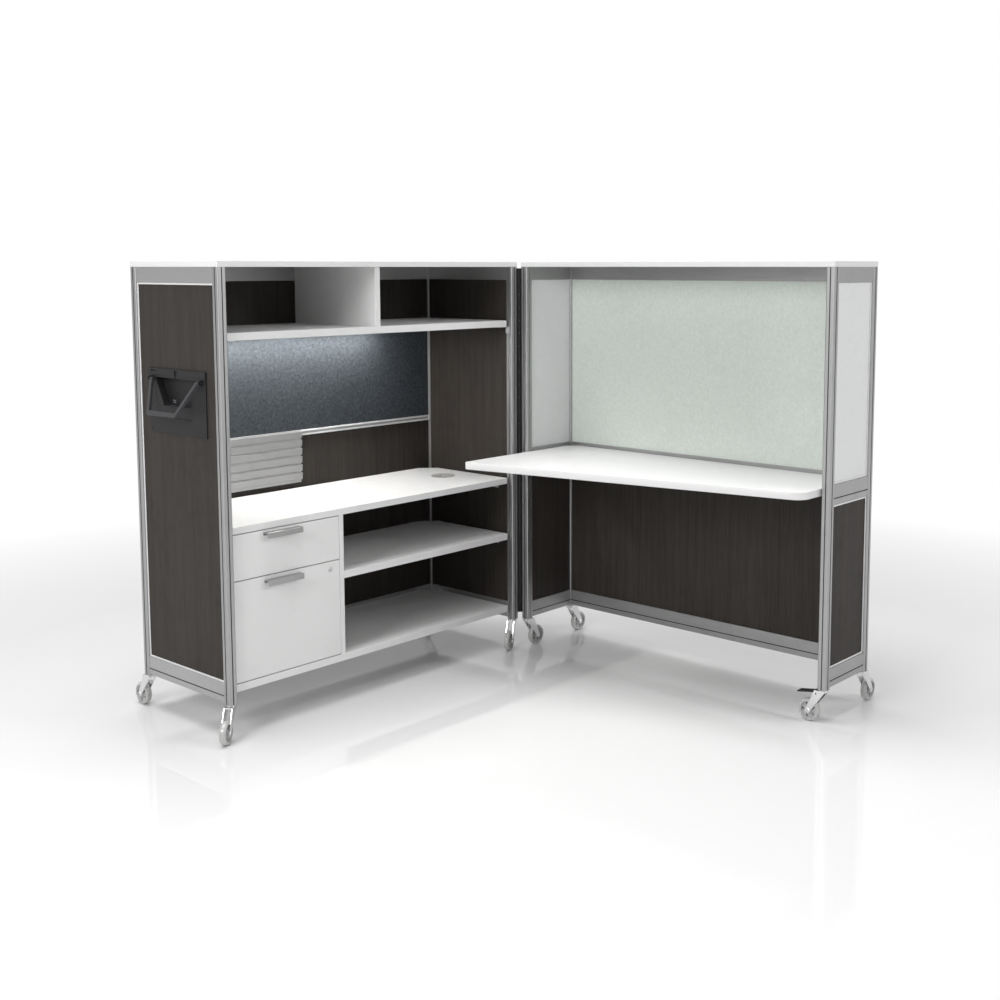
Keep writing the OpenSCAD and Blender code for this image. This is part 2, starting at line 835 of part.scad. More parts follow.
// Barrel through the file drawer's front, with its keyway and the cam behind it
module drawer_lock() {
    color(STEEL) in_storage() translate([lock_x, 0, lock_z]) difference() {
        union() {
            translate([0, shelf_setback - lock_proud, 0]) rotate([-90, 0, 0])
                cylinder(h = lock_end - shelf_setback + lock_proud, r = lock_r);
            translate([0, lock_end - lock_cam_t, -lock_cam_w / 2])
                cube([lock_cam_l, lock_cam_t, lock_cam_w]);
        }
        translate([-key_w / 2, shelf_setback - lock_proud - cut, -key_l / 2])
            cube([key_w, key_cut + cut, key_l]);
    }
}

// Bezel with its ledge, the hollow bowl behind it for the fingers, and the bail's two ears
module handle_tray() {
    plate_top = tray_plate_z + tray_plate_h;
    ear_y = bail_w / 2 + bail_bar / 2 + slide_gap;
    color(BLACK) in_storage() difference() {
        union() {
            outwards(panel_face_x, plate_face_x)
                translate([-tray_plate_w / 2, tray_plate_z]) square([tray_plate_w, tray_plate_h]);
            outwards(plate_face_x, plate_face_x + ledge_t)
                translate([-tray_plate_w / 2, plate_top - ledge_h]) square([tray_plate_w, ledge_h]);
            outwards(plate_face_x - bowl_cut - bowl_wall, panel_face_x) bowl_outline(bowl_wall);
            for (side = [-1, 1])
                translate([plate_face_x, tray_mid_y + side * (ear_y + ear_t / 2), bail_axis_z]) {
                    translate([0, -ear_t / 2, -ear_r]) cube([bail_axis_out, ear_t, 2 * ear_r]);
                    translate([bail_axis_out, ear_t / 2, 0]) rotate([90, 0, 0])
                        cylinder(h = ear_t, r = ear_r);
                }
        }
        outwards(plate_face_x - bowl_cut, plate_face_x + cut) bowl_outline(0);
        translate([bail_axis_x, tray_mid_y + tray_plate_w / 2, bail_axis_z]) rotate([90, 0, 0])
            cylinder(h = tray_plate_w, r = bail_pin_r + play);
        outwards(plate_face_x - tray_plate_t / 2, plate_face_x + ledge_t + cut) {
            translate([-notch_w / 2, bowl_top_z - cut]) square([notch_w, notch_h]);
            translate([tray_plate_w / 2 - 2 * ear_r - latch_slot_w, plate_top - ledge_h / 2])
                square([latch_slot_w, latch_slot_h]);
            translate([-slit_w / 2, tray_plate_z + slit_rise]) square([slit_w, slit_h]);
        }
        outwards(plate_face_x - bowl_cut - bowl_wall - cut, plate_face_x - bowl_cut + cut)
            for (side = [-1, 1])
                translate([side * (bowl_low_w / 2 - drain_w), bowl_top_z - bowl_h + drain_h])
                    square([drain_w, drain_h], center = true);
    }
}

// Trapezoid bail with a pin at each end of its axis, hung out from the wall by its angle
module handle_bail() {
    top = bail_w / 2;
    low = bail_bar_w / 2;
    slope = (top - low) / bail_l;
    half = bail_bar / 2;
    outer_low = low + half - slope * half;
    inner_low = low - half + slope * half;
    color(BLACK) in_storage() translate([bail_axis_x, tray_mid_y, bail_axis_z]) rotate([0, -bail_angle, 0]) {
        translate([-bail_t / 2, 0, 0]) rotate([90, 0, 90]) linear_extrude(bail_t) difference() {
            polygon([
                [-top - half, 0], [-outer_low, -bail_l - half],
                [outer_low, -bail_l - half], [top + half, 0]
            ]);
            polygon([
                [-top + half, cut], [-inner_low, half - bail_l],
                [inner_low, half - bail_l], [top - half, cut]
            ]);
        }
        for (side = [-1, 1]) {
            translate([0, side * top + half, 0]) rotate([90, 0, 0]) cylinder(h = bail_bar, r = bail_t / 2);
            translate([0, side * (top + half + bail_pin_l / 2 - fit) + bail_pin_l / 2, 0])
                rotate([90, 0, 0]) cylinder(h = bail_pin_l, r = bail_pin_r);
        }
    }
}

// Leaf on the wall x = -corner_gap, above the axis in y, with every second knuckle from the first one
module hinge_leaf(first) {
    web_y = knuckle_r - leaf_gap;
    translate([0, 0, leaf_low]) difference() {
        union() {
            translate([-corner_gap, leaf_gap, 0]) cube([leaf_t, leaf_w, leaf_h]);
            for (i = [first:2:knuckles - 1]) translate([0, 0, i * knuckle_l + knuckle_gap / 2]) {
                cylinder(h = knuckle_l - knuckle_gap, r = knuckle_r);
                translate([-corner_gap, leaf_gap, 0]) cube([corner_gap, web_y, knuckle_l - knuckle_gap]);
            }
        }
        translate([0, 0, -cut]) cylinder(h = leaf_h + 2 * cut, r = hinge_pin_r + play);
    }
}

module storage_hinge_leaf() {
    color(BLACK) at_fold_axis() hinge_leaf(0);
}

module desk_hinge_leaf() {
    color(BLACK) at_fold_axis() rotate(-90) mirror([1, 0, 0]) hinge_leaf(1);
}

module hinge_pin() {
    color(BLACK) at_fold_axis() translate([0, 0, leaf_low]) cylinder(h = leaf_h, r = hinge_pin_r);
}

module desk_posts() {
    color(ALUMINIUM) in_desk() posts(desk_d);
}

module desk_rails() {
    color(ALUMINIUM) in_desk() {
        rail_ring(desk_d, top_rail_z, top_rail_h, false, true, false);
        rail_ring(desk_d, mid_rail_z, mid_rail_h, true, true, true);
        rail_ring(desk_d, bottom_rail_z, bottom_rail_h, true, false, true);
    }
}

module desk_cover() {
    color(WHITE_BOARD) in_desk() cover(desk_d);
}

module desk_upper_side_panels() {
    color(WHITE_BOARD) in_desk()
        for (x = [near_x, far_x]) side_panel(x, desk_d, mid_rail_top, top_rail_z);
}

module desk_lower_panels() {
    color(DARK_LAMINATE) in_desk() {
        for (x = [near_x, far_x]) side_panel(x, desk_d, bottom_rail_top, mid_rail_z);
        back_panel(desk_d, bottom_rail_top, mid_rail_z);
    }
}

module marker_board() {
    color(GLASS) in_desk() back_panel(desk_d, mid_rail_top, top_rail_z);
}

// Tapered desk: deep in front of the hinge end, shallow at the far end, clipped at the back corners
module desk_top_board() {
    far = desk_x + desk_l;
    outline = rounded_outline([
        [desk_x, -desk_reach_near], [far, -desk_reach_far],
        [far, desk_back - desk_clip], [far - desk_clip, desk_back],
        [desk_x + desk_clip, desk_back], [desk_x, desk_back - desk_clip]
    ], [desk_near_r, desk_far_r, 0, 0, 0, 0]);
    color(WHITE_BOARD) in_desk() translate([0, 0, desk_z]) linear_extrude(desk_t) polygon(outline);
}

// Tapered arm under the desk at x, from the back rail forward by a share of the overhang there
module desk_arm(x) {
    overhang = desk_reach_near + (desk_reach_far - desk_reach_near) * (x - desk_x) / desk_l;
    tip = -overhang * arm_reach_share;
    root = desk_d - rail_face;
    translate([x + arm_w / 2, 0, desk_z]) rotate([90, 0, -90]) linear_extrude(arm_w)
        polygon([[-root, -arm_h], [-root, 0], [-tip, 0], [-tip, -arm_tip_h], [-post_w, -arm_h]]);
}

// Angle along the side rail that carries one end of the desk
module desk_cleat() {
    l = desk_back - desk_clip - post_w;
    translate([rail_face, post_w, desk_z - cleat_h]) cube([cleat_t, l, cleat_h]);
    translate([rail_face, post_w, desk_z - cleat_t]) cube([cleat_w, l, cleat_t]);
}

module desk_supports() {
    color(STEEL) in_desk() {
        for (share = [arm_inset_share, 1 - arm_inset_share]) desk_arm(unit_w * share);
        desk_cleat();
        translate([unit_w, 0, 0]) mirror([1, 0, 0]) desk_cleat();
    }
}

// Stands a caster, drawn with its stem on the axis and trailing along +x, under its post
module at_caster(i) {
    c = CASTERS[i];
    place = c[0] == STORAGE
        ? [fold_x - corner_gap - c[1], fold_y + corner_gap + c[2]]
        : [fold_x + corner_gap + c[2], fold_y - corner_gap - c[1]];
    translate([place[0], place[1], 0]) rotate(c[3]) children();
}

// Side of the fork: a tapered plate from the crown down to a round boss at the axle
module fork_side() {
    rotate([90, 0, 0]) linear_extrude(fork_t) {
        polygon([
            [-fork_back, fork_top], [fork_front, fork_top],
            [trail + boss_r * cos(boss_turn), wheel_r + boss_r * sin(boss_turn)],
            [trail - boss_r * sin(boss_turn), wheel_r - boss_r * cos(boss_turn)]
        ]);
        translate([trail, wheel_r]) circle(boss_r);
    }
}

module fork(i) {
    color(STEEL) at_caster(i) difference() {
        union() {
            translate([0, 0, fork_top + crown_t]) cylinder(h = stem_l + crown_gap, r = stem_r);
            translate([0, 0, fork_top]) cylinder(h = crown_t, r = crown_r);
            translate([-fork_back, -fork_half, fork_top - fork_t])
                cube([fork_back + fork_front, 2 * fork_half, fork_t + crown_t / 2]);
            translate([0, -fork_half + fork_t, 0]) fork_side();
            translate([0, fork_half, 0]) fork_side();
            translate([trail, fork_half + axle_end, wheel_r]) rotate([90, 0, 0])
                cylinder(h = 2 * (fork_half + axle_end), r = axle_r);
        }
        if (i == BRAKED)
            translate([pedal_axis_x, crown_r, pedal_axis_z]) rotate([90, 0, 0])
                cylinder(h = 2 * crown_r, r = pedal_pin_r + play);
    }
}

// Half section of a wheel: round-shouldered tyre, thin web and a hub with its bore
module wheel_section() {
    half = wheel_w / 2;
    difference() {
        union() {
            translate([0, -hub_w / 2]) square([hub_r, hub_w]);
            translate([0, -web_w / 2]) square([rim_r + cut, web_w]);
            translate([rim_r, -half]) square([wheel_r - tyre_round - rim_r, wheel_w]);
            translate([rim_r, tyre_round - half]) square([wheel_r - rim_r, wheel_w - 2 * tyre_round]);
            for (side = [-1, 1])
                translate([wheel_r - tyre_round, side * (half - tyre_round)]) circle(tyre_round);
        }
        translate([-cut, -hub_w]) square([axle_r + play + cut, 2 * hub_w]);
        translate([-2 * wheel_r, -wheel_w]) square([2 * wheel_r, 2 * wheel_w]);
    }
}

// Wheel with a ring of round holes through its web
module wheel(i) {
    color(TYRE) at_caster(i) translate([trail, 0, wheel_r]) rotate([90, 0, 0]) difference() {
        rotate_extrude() wheel_section();
        for (k = [0:web_holes - 1])
            rotate(360 * k / web_holes) translate([web_hole_ring_r, 0, -web_w])
                cylinder(h = 2 * web_w, r = web_hole_r);
    }
}

// Foot pedal over the braked wheel, on its own pin through the fork
module brake_pedal() {
    pad_x = trail * pedal_bend_share;
    pad_top = fork_top - fork_t - slide_gap;
    pad_end_top = fork_top - 3 * pedal_t;
    color(BLACK) at_caster(BRAKED) {
        translate([0, pedal_w / 2, 0]) rotate([90, 0, 0]) linear_extrude(pedal_w) {
            polygon([
                [pedal_axis_x - pedal_pin_r, pedal_axis_z - pedal_t],
                [pedal_axis_x - pedal_pin_r, pedal_axis_z + pedal_t],
                [pad_x, pad_top], [pad_x, pad_top - pedal_t]
            ]);
            translate([pedal_axis_x, pedal_axis_z]) circle(pedal_t);
        }
        translate([0, pedal_pad_w / 2, 0]) rotate([90, 0, 0]) linear_extrude(pedal_pad_w)
            polygon([
                [pad_x, pad_top], [pad_x, pad_top - pedal_t],
                [pedal_l, pad_end_top - pedal_t], [pedal_l, pad_end_top]
            ]);
        translate([pedal_axis_x, fork_half, pedal_axis_z]) rotate([90, 0, 0])
            cylinder(h = 2 * fork_half, r = pedal_pin_r);
    }
}

storage_posts();
storage_rails();
storage_mullion();
storage_left_panel();
storage_wall_panels();
storage_back_board();
storage_cover();
upper_shelf();
shelf_divider();
light_housing();
light_lens();
worktop();
grommet_sleeve();
grommet_cap();
tool_rail();
lower_shelves();
shelf_brackets();
pedestal_sides();
pedestal_decks();
pedestal_back_board();
fixed_runners();
box_drawer_front();
drawer_tray(box_tray_z, box_tray_h);  // box_drawer_tray
drawer_pull(box_pull_z);  // box_drawer_pull
drawer_runners(box_runner_z);  // box_drawer_runners
file_drawer_front();
drawer_tray(file_tray_z, file_tray_h);  // file_drawer_tray
drawer_pull(file_pull_z);  // file_drawer_pull
drawer_runners(file_runner_z);  // file_drawer_runners
drawer_lock();
handle_tray();
handle_bail();
storage_hinge_leaf();
desk_hinge_leaf();
hinge_pin();
desk_posts();
desk_rails();
desk_cover();
desk_upper_side_panels();
desk_lower_panels();
marker_board();
desk_top_board();
desk_supports();
fork(0);  // fork_storage_front_left
fork(1);  // fork_storage_front_right
fork(2);  // fork_storage_back_left
fork(3);  // fork_storage_back_right
fork(4);  // fork_desk_front_left
fork(5);  // fork_desk_front_right
fork(6);  // fork_desk_back_left
fork(7);  // fork_desk_back_right
wheel(0);  // wheel_storage_front_left
wheel(1);  // wheel_storage_front_right
wheel(2);  // wheel_storage_back_left
wheel(3);  // wheel_storage_back_right
wheel(4);  // wheel_desk_front_left
wheel(5);  // wheel_desk_front_right
wheel(6);  // wheel_desk_back_left
wheel(7);  // wheel_desk_back_right
brake_pedal();
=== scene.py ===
"""Mobile folding workstation: finishes, trims, fasteners, wheels, floor, lamps and camera on its frame."""

import json
import logging
import math
from collections.abc import Callable, Iterable, Sequence
from dataclasses import dataclass
from enum import Enum

import bmesh
import bpy
from mathutils import Matrix, Vector

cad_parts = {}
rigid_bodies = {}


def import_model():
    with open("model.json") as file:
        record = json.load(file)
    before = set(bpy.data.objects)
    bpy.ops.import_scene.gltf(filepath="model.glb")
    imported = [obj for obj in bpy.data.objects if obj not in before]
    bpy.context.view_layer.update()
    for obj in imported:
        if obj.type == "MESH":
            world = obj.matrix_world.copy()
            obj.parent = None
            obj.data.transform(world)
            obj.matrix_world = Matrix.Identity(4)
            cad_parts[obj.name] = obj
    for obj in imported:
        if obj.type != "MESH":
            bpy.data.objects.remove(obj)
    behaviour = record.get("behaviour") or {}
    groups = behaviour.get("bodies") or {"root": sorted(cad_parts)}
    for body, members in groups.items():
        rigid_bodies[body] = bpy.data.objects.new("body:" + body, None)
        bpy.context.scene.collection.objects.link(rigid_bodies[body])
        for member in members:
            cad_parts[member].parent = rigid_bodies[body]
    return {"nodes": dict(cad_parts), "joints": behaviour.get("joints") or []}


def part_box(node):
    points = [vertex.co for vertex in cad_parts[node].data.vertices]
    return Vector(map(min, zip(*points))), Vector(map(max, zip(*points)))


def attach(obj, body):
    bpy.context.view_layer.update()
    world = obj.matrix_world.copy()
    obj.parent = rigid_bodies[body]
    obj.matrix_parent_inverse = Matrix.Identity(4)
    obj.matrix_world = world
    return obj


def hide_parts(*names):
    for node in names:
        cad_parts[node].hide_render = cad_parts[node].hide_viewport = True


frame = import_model()

LOG = logging.getLogger("workstation")
MM = 0.001
UP = Vector((0.0, 0.0, 1.0))
FACING = 0.99  # least cosine between a face's normal and the way that it counts as facing
WELD_REACH = 0.02 * MM
MERGE_REACH = 0.005 * MM
FLAT_ANGLE = math.radians(0.6)
SHARP_ANGLE = math.radians(40.0)

Colour = tuple[float, float, float]
Place = tuple[float, float, float]
Rail = tuple[float, float]
Socket = bpy.types.NodeSocket
Value = Socket | float


def grey(tone: float) -> Colour:
    """A neutral colour of one brightness."""
    return (tone, tone, tone)


class Effect(Enum):
    """Shader node groups that several finishes share."""

    GRAIN = "stretched_grain"
    MOTTLE = "cloudy_mottle"
    HANDLING = "handling_marks"


class Grain(Enum):
    """The way that a grain runs, as the scale of its pattern along x, y and z."""

    UPRIGHT = (1.0, 1.0, 0.03)
    ALONG_X = (0.03, 1.0, 1.0)
    ALONG_Y = (1.0, 0.03, 1.0)
    EVEN = (1.0, 1.0, 1.0)


class Sheet:
    """Adds and links the nodes of one material or one group."""

    def __init__(self, tree: bpy.types.NodeTree) -> None:
        """Work on one node tree.

        Args:
            tree: The tree that takes the nodes.
        """
        self.tree = tree

    def feed(self, socket: Socket, value: object) -> None:
        """Link a socket to another, or set its value.

        Args:
            socket: The input to fill.
            value: An output socket, or a plain value.
        """
        if isinstance(value, Socket):
            self.tree.links.new(value, socket)
        else:
            socket.default_value = value

    def add(self, kind: str, **inputs: object) -> bpy.types.Node:
        """Add a node with its inputs filled.

        Args:
            kind: The node's type.
            **inputs: Values or sockets by input name, with _ for a space.

        Returns:
            The new node.
        """
        node = self.tree.nodes.new(kind)
        for name, value in inputs.items():
            self.feed(node.inputs[name.replace("_", " ")], value)
        return node

    def noise(self, vector: Socket, scale: Socket, detail: float, warp: float = 0.0) -> Socket:
        """Noise between about 0.25 and 0.75 at a scale.

        Args:
            vector: The coordinates.
            scale: Size of the pattern, larger is finer.
            detail: Number of finer layers.
            warp: Distortion.

        Returns:
            The value socket.
        """
        node = self.add("ShaderNodeTexNoise", Vector=vector, Scale=scale, Detail=detail, Distortion=warp)
        return node.outputs[0]

    def calc(self, operation: str, first: Value, second: Value) -> Socket:
        """One sum on two values.

        Args:
            operation: Blender's name of the sum.
            first: The first value.
            second: The second value.

        Returns:
            The result's socket.
        """
        node = self.tree.nodes.new("ShaderNodeMath")
        node.operation = operation
        self.feed(node.inputs[0], first)
        self.feed(node.inputs[1], second)
        return node.outputs[0]

    def span(self, value: Socket, low: float, high: float, start: float = 0.0, end: float = 1.0) -> Socket:
        """Map start to end onto low to high, clamped.

        Args:
            value: The value to map.
            low: Result at start.
            high: Result at end.
            start: Where the range starts.
            end: Where the range ends.

        Returns:
            The mapped socket.
        """
        node = self.add("ShaderNodeMapRange", Value=value, From_Min=start, From_Max=end,
                        To_Min=low, To_Max=high)
        return node.outputs[0]

    def mix(self, factor: Socket, first: Socket | Colour, second: Socket | Colour) -> Socket:
        """Blend two colours.

        Args:
            factor: 0 for the first, 1 for the second.
            first: A colour or a socket.
            second: A colour or a socket.

        Returns:
            The colour socket.
        """
        node = self.tree.nodes.new("ShaderNodeMix")
        node.data_type = "RGBA"
        self.feed(node.inputs[0], factor)
        for index, colour in ((6, first), (7, second)):
            self.feed(node.inputs[index], (*colour, 1.0) if isinstance(colour, tuple) else colour)
        return node.outputs[2]

    def weigh(self, first: Socket, second: Socket, share: float) -> Socket:
        """Add two values by their shares.

        Args:
            first: The first value.
            second: The second value.
            share: Share of the first, the second has the rest.

        Returns:
            The sum's socket.
        """
        rest = self.calc("MULTIPLY", second, 1.0 - share)
        return self.calc("ADD", self.calc("MULTIPLY", first, share), rest)

    def effect(self, effect: Effect, vector: Socket, **inputs: float) -> bpy.types.Node:
        """Place a shared effect.

        Args:
            effect: Which effect.
            vector: The coordinates that it reads.
            **inputs: Its own values by name.

        Returns:
            The group node.
        """
        node = self.tree.nodes.new("ShaderNodeGroup")
        node.node_tree = shared_effect(effect)
        self.feed(node.inputs["Vector"], vector)
        for name, value in inputs.items():
            self.feed(node.inputs[name], value)
        return node


def shared_effect(effect: Effect) -> bpy.types.NodeTree:
    """Build a shared effect once, and return it from then on.

    Args:
        effect: Which effect.

    Returns:
        The node group.
    """
    if effect.value in bpy.data.node_groups:
        return bpy.data.node_groups[effect.value]
    tree = bpy.data.node_groups.new(effect.value, "ShaderNodeTree")
    tree.interface.new_socket("Vector", in_out="INPUT", socket_type="NodeSocketVector")
    for name, value in (("Size", 100.0), ("Contrast", 1.0)):
        socket = tree.interface.new_socket(name, in_out="INPUT", socket_type="NodeSocketFloat")
        socket.default_value = value
    for name in ("Mask", "Height"):
        tree.interface.new_socket(name, in_out="OUTPUT", socket_type="NodeSocketFloat")
    sheet = Sheet(tree)
    source = tree.nodes.new("NodeGroupInput")
    result = tree.nodes.new("NodeGroupOutput")
    vector, size, contrast = (source.outputs[name] for name in ("Vector", "Size", "Contrast"))
    if effect is Effect.GRAIN:
        height = sheet.noise(vector, size, detail=4.0)
        broad = sheet.noise(vector, sheet.calc("MULTIPLY", size, 0.18), detail=2.0, warp=0.6)
        shape = sheet.weigh(height, broad, share=0.55)
    elif effect is Effect.MOTTLE:
        broad = sheet.noise(vector, size, detail=5.0, warp=0.8)
        height = sheet.noise(vector, sheet.calc("MULTIPLY", size, 6.0), detail=2.0)
        shape = sheet.weigh(broad, height, share=0.7)
    else:
        broad = sheet.noise(vector, size, detail=6.0, warp=1.2)
        height = sheet.noise(vector, sheet.calc("MULTIPLY", size, 9.0), detail=2.0)
        shape = sheet.calc("MULTIPLY", broad, sheet.calc("ADD", height, 0.5))
    middle, steepness = 0.5, 3.0
    slope = sheet.calc("MULTIPLY", contrast, steepness)
    mask = sheet.calc("ADD", sheet.calc("MULTIPLY", sheet.calc("SUBTRACT", shape, middle), slope), middle)
    sheet.feed(result.inputs["Mask"], sheet.calc("MINIMUM", sheet.calc("MAXIMUM", mask, 0.0), 1.0))
    sheet.feed(result.inputs["Height"], height)
    return tree


@dataclass(frozen=True)
class Finish:
    """A finish whose two tones, gloss and relief follow one pattern, with faint marks of handling."""

    name: str
    dark: Colour
    light: Colour
    roughness: float
    effect: Effect = Effect.MOTTLE
    grain: Grain = Grain.EVEN
    size: float = 60.0
    contrast: float = 1.0
    gloss_change: float = 0.08
    relief: float = 0.1
    relief_mm: float = 0.1
    metallic: float = 0.0
    specular: float = 0.5
    coat: float = 0.0
    coat_roughness: float = 0.12
    glow: float = 0.0
    clear: float = 0.0
    marks_size: float = 3.5
    marks_contrast: float = 0.8
    marks_from: float = 0.55
    marks_depth: float = 0.22
    marks_tone: float = 0.93

    def build(self) -> bpy.types.Material:
        """Make the material once, and return it from then on.

        Returns:
            The material.
        """
        title = f"{self.name}_finish"
        if title in bpy.data.materials:
            return bpy.data.materials[title]
        material = bpy.data.materials.new(title)
        material.use_nodes = True
        sheet = Sheet(material.node_tree)
        shader = material.node_tree.nodes["Principled BSDF"]
        place = sheet.add("ShaderNodeTexCoord").outputs["Object"]
        mapped = sheet.add("ShaderNodeMapping", Vector=place, Scale=self.grain.value).outputs[0]
        pattern = sheet.effect(self.effect, mapped, Size=self.size, Contrast=self.contrast)
        marks = sheet.effect(Effect.HANDLING, place, Size=self.marks_size, Contrast=self.marks_contrast)
        tone = sheet.mix(pattern.outputs["Mask"], self.dark, self.light)
        worn = tuple(self.marks_tone * channel for channel in self.dark)
        dulled = sheet.mix(sheet.span(marks.outputs["Mask"], 0.0, self.marks_depth, start=self.marks_from),
                           tone, worn)
        sheet.feed(shader.inputs["Base Color"], dulled)
        low, high = self.roughness - self.gloss_change, self.roughness + self.gloss_change
        both = sheet.weigh(pattern.outputs["Mask"], marks.outputs["Mask"], share=0.5)
        sheet.feed(shader.inputs["Roughness"], sheet.span(both, low, high))
        bump = sheet.add("ShaderNodeBump", Strength=self.relief, Distance=self.relief_mm * MM,
                         Height=pattern.outputs["Height"])
        sheet.feed(shader.inputs["Normal"], bump.outputs[0])
        shader.inputs["Metallic"].default_value = self.metallic
        shader.inputs["Specular IOR Level"].default_value = self.specular
        shader.inputs["Coat Weight"].default_value = self.coat
        shader.inputs["Coat Roughness"].default_value = self.coat_roughness
        shader.inputs["Transmission Weight"].default_value = self.clear
        if self.glow:
            sheet.feed(shader.inputs["Emission Color"], dulled)
            shader.inputs["Emission Strength"].default_value = self.glow
        return material


def metal(name: str, tone: float, roughness: float, grain: Grain, contrast: float = 0.6) -> Finish:
    """A brushed or satin metal.

    Args:
        name: The finish's name.
        tone: Its brightness.
        roughness: Its gloss, 0 for a mirror.
        grain: The way that it is brushed.
        contrast: Strength of the brushing.

    Returns:
        The finish.
    """
    dark, cool, light = 0.87, 0.875, 1.06
    return Finish(name, (tone * dark, tone * dark, tone * cool), grey(tone * light), roughness, Effect.GRAIN,
                  grain, size=900.0, contrast=contrast, gloss_change=0.06, relief=0.12, relief_mm=0.05,
                  metallic=1.0)


POST_METAL = metal("aluminium_upright", 0.44, 0.46, Grain.UPRIGHT, 0.8)
RAIL_METAL_X = metal("aluminium_along_x", 0.50, 0.46, Grain.ALONG_X, 0.8)
RAIL_METAL_Y = metal("aluminium_along_y", 0.42, 0.46, Grain.ALONG_Y, 0.8)
TOOL_RAIL = metal("slat_aluminium", 0.54, 0.42, Grain.ALONG_X)
PULL_METAL = metal("satin_pull", 0.44, 0.42, Grain.ALONG_X)
CHROME = metal("caster_chrome", 0.80, 0.14, Grain.EVEN, 0.2)
SCREW_METAL = metal("zinc_screw", 0.55, 0.30, Grain.EVEN, 0.4)
TRIM_METAL = Finish("bright_trim", (0.78, 0.78, 0.79), (0.88, 0.88, 0.89), 0.34, Effect.GRAIN, size=700.0,
                    contrast=0.5, gloss_change=0.06, relief_mm=0.05, metallic=0.15)
BRACKET_PAINT = Finish("bracket_enamel", grey(0.42), grey(0.50), 0.42, size=300.0, relief=0.15)
DARK_LAMINATE = Finish("dark_laminate", (0.027, 0.0228, 0.0198), (0.050, 0.0432, 0.0378), 0.52, Effect.GRAIN,
                       Grain.UPRIGHT, size=300.0, gloss_change=0.07, relief=0.3, specular=0.2)
SLATE = Finish("slate_board", (0.014, 0.018, 0.022), (0.050, 0.058, 0.066), 0.70, size=105.0, contrast=1.1,
               gloss_change=0.06, relief=0.5, relief_mm=0.3, specular=0.3)
WHITE_LAMINATE = Finish("white_laminate", (0.78, 0.778, 0.776), (0.84, 0.838, 0.836), 0.38, size=240.0,
                        contrast=0.7, gloss_change=0.05, relief=0.12, relief_mm=0.05)
WHITE_PANEL = Finish("white_panel", (0.77, 0.775, 0.78), (0.83, 0.835, 0.84), 0.50, size=180.0, contrast=0.9,
                     gloss_change=0.06, relief=0.18, relief_mm=0.06)
TRAY_BOARD = Finish("drawer_tray_board", (0.66, 0.66, 0.65), (0.72, 0.72, 0.71), 0.50, size=160.0)
MARKER_GLASS = Finish("marker_glass", (0.62, 0.67, 0.62), (0.71, 0.76, 0.71), 0.16, size=110.0, contrast=1.2,
                      gloss_change=0.03, relief=0.02, relief_mm=0.05, coat=0.4)
LENS = Finish("light_lens", (0.95, 0.935, 0.915), (1.0, 0.985, 0.965), 0.5, size=200.0, contrast=0.3,
              glow=78.0)
GROMMET = Finish("grommet_grey", (0.36, 0.355, 0.35), (0.43, 0.425, 0.42), 0.40, size=260.0, relief=0.2)
TRAY_PLASTIC = Finish("handle_plastic", (0.012, 0.012, 0.013), (0.021, 0.021, 0.023), 0.50, size=700.0,
                      contrast=0.8, gloss_change=0.06, relief=0.4, relief_mm=0.08, specular=0.3)
BAIL_PLASTIC = Finish("bail_plastic", (0.040, 0.041, 0.044), (0.060, 0.061, 0.064), 0.44, size=600.0,
                      contrast=0.7, gloss_change=0.06, relief=0.3, relief_mm=0.06, specular=0.35)
HINGE_BLACK = Finish("hinge_black", grey(0.008), grey(0.016), 0.45, Effect.GRAIN, Grain.UPRIGHT, size=500.0,
                     contrast=0.7, relief=0.2, relief_mm=0.05, specular=0.4)
PEDAL_RUBBER = Finish("pedal_black", grey(0.010), grey(0.022), 0.62, size=600.0, relief=0.4)
# Near-black rubber of the groove strips, which paint the grooves' shade as dark lines.
GROOVE_SHADE_RUBBER = Finish("groove_shade_black", grey(0.012), grey(0.024), 0.7, size=500.0, relief=0.3)
TYRE = Finish("caster_tyre", (0.60, 0.60, 0.59), (0.74, 0.74, 0.73), 0.20, size=90.0, contrast=0.7,
              gloss_change=0.06, relief=0.15, coat=0.4, clear=0.3)
HUB = Finish("caster_hub", grey(0.46), grey(0.56), 0.40, size=240.0, relief=0.2)


def dress(node: str, finish: Finish, edge_mm: float = 0.0, segments: int = 2) -> None:
    """Give a CAD node its finish and break its sharp edges.

    Args:
        node: The node's name.
        finish: What it is finished in.
        edge_mm: Width of the broken edge, 0 to leave it.
        segments: Steps round the broken edge.
    """
    body = frame["nodes"][node]
    if body.material_slots:
        for slot in body.material_slots:
            slot.material = finish.build()
    else:
        body.data.materials.append(finish.build())
    if edge_mm:
        break_edges(body, edge_mm, segments)
    LOG.info("dressed %s in %s", node, finish.name)


def break_edges(body: bpy.types.Object, edge_mm: float, segments: int) -> None:
    """Weld a body's loose triangles, clear its flat faces and bevel what is sharp, all as modifiers.

    Args:
        body: The object.
        edge_mm: Width of the bevel.
        segments: Steps of the bevel.
    """
    weld = body.modifiers.new("weld", "WELD")
    weld.merge_threshold = WELD_REACH
    flat = body.modifiers.new("flat", "DECIMATE")
    flat.decimate_type = "DISSOLVE"
    flat.angle_limit = FLAT_ANGLE
    bevel = body.modifiers.new("edge", "BEVEL")
    bevel.width = edge_mm * MM
    bevel.segments = segments
    bevel.limit_method = "ANGLE"
    bevel.angle_limit = SHARP_ANGLE


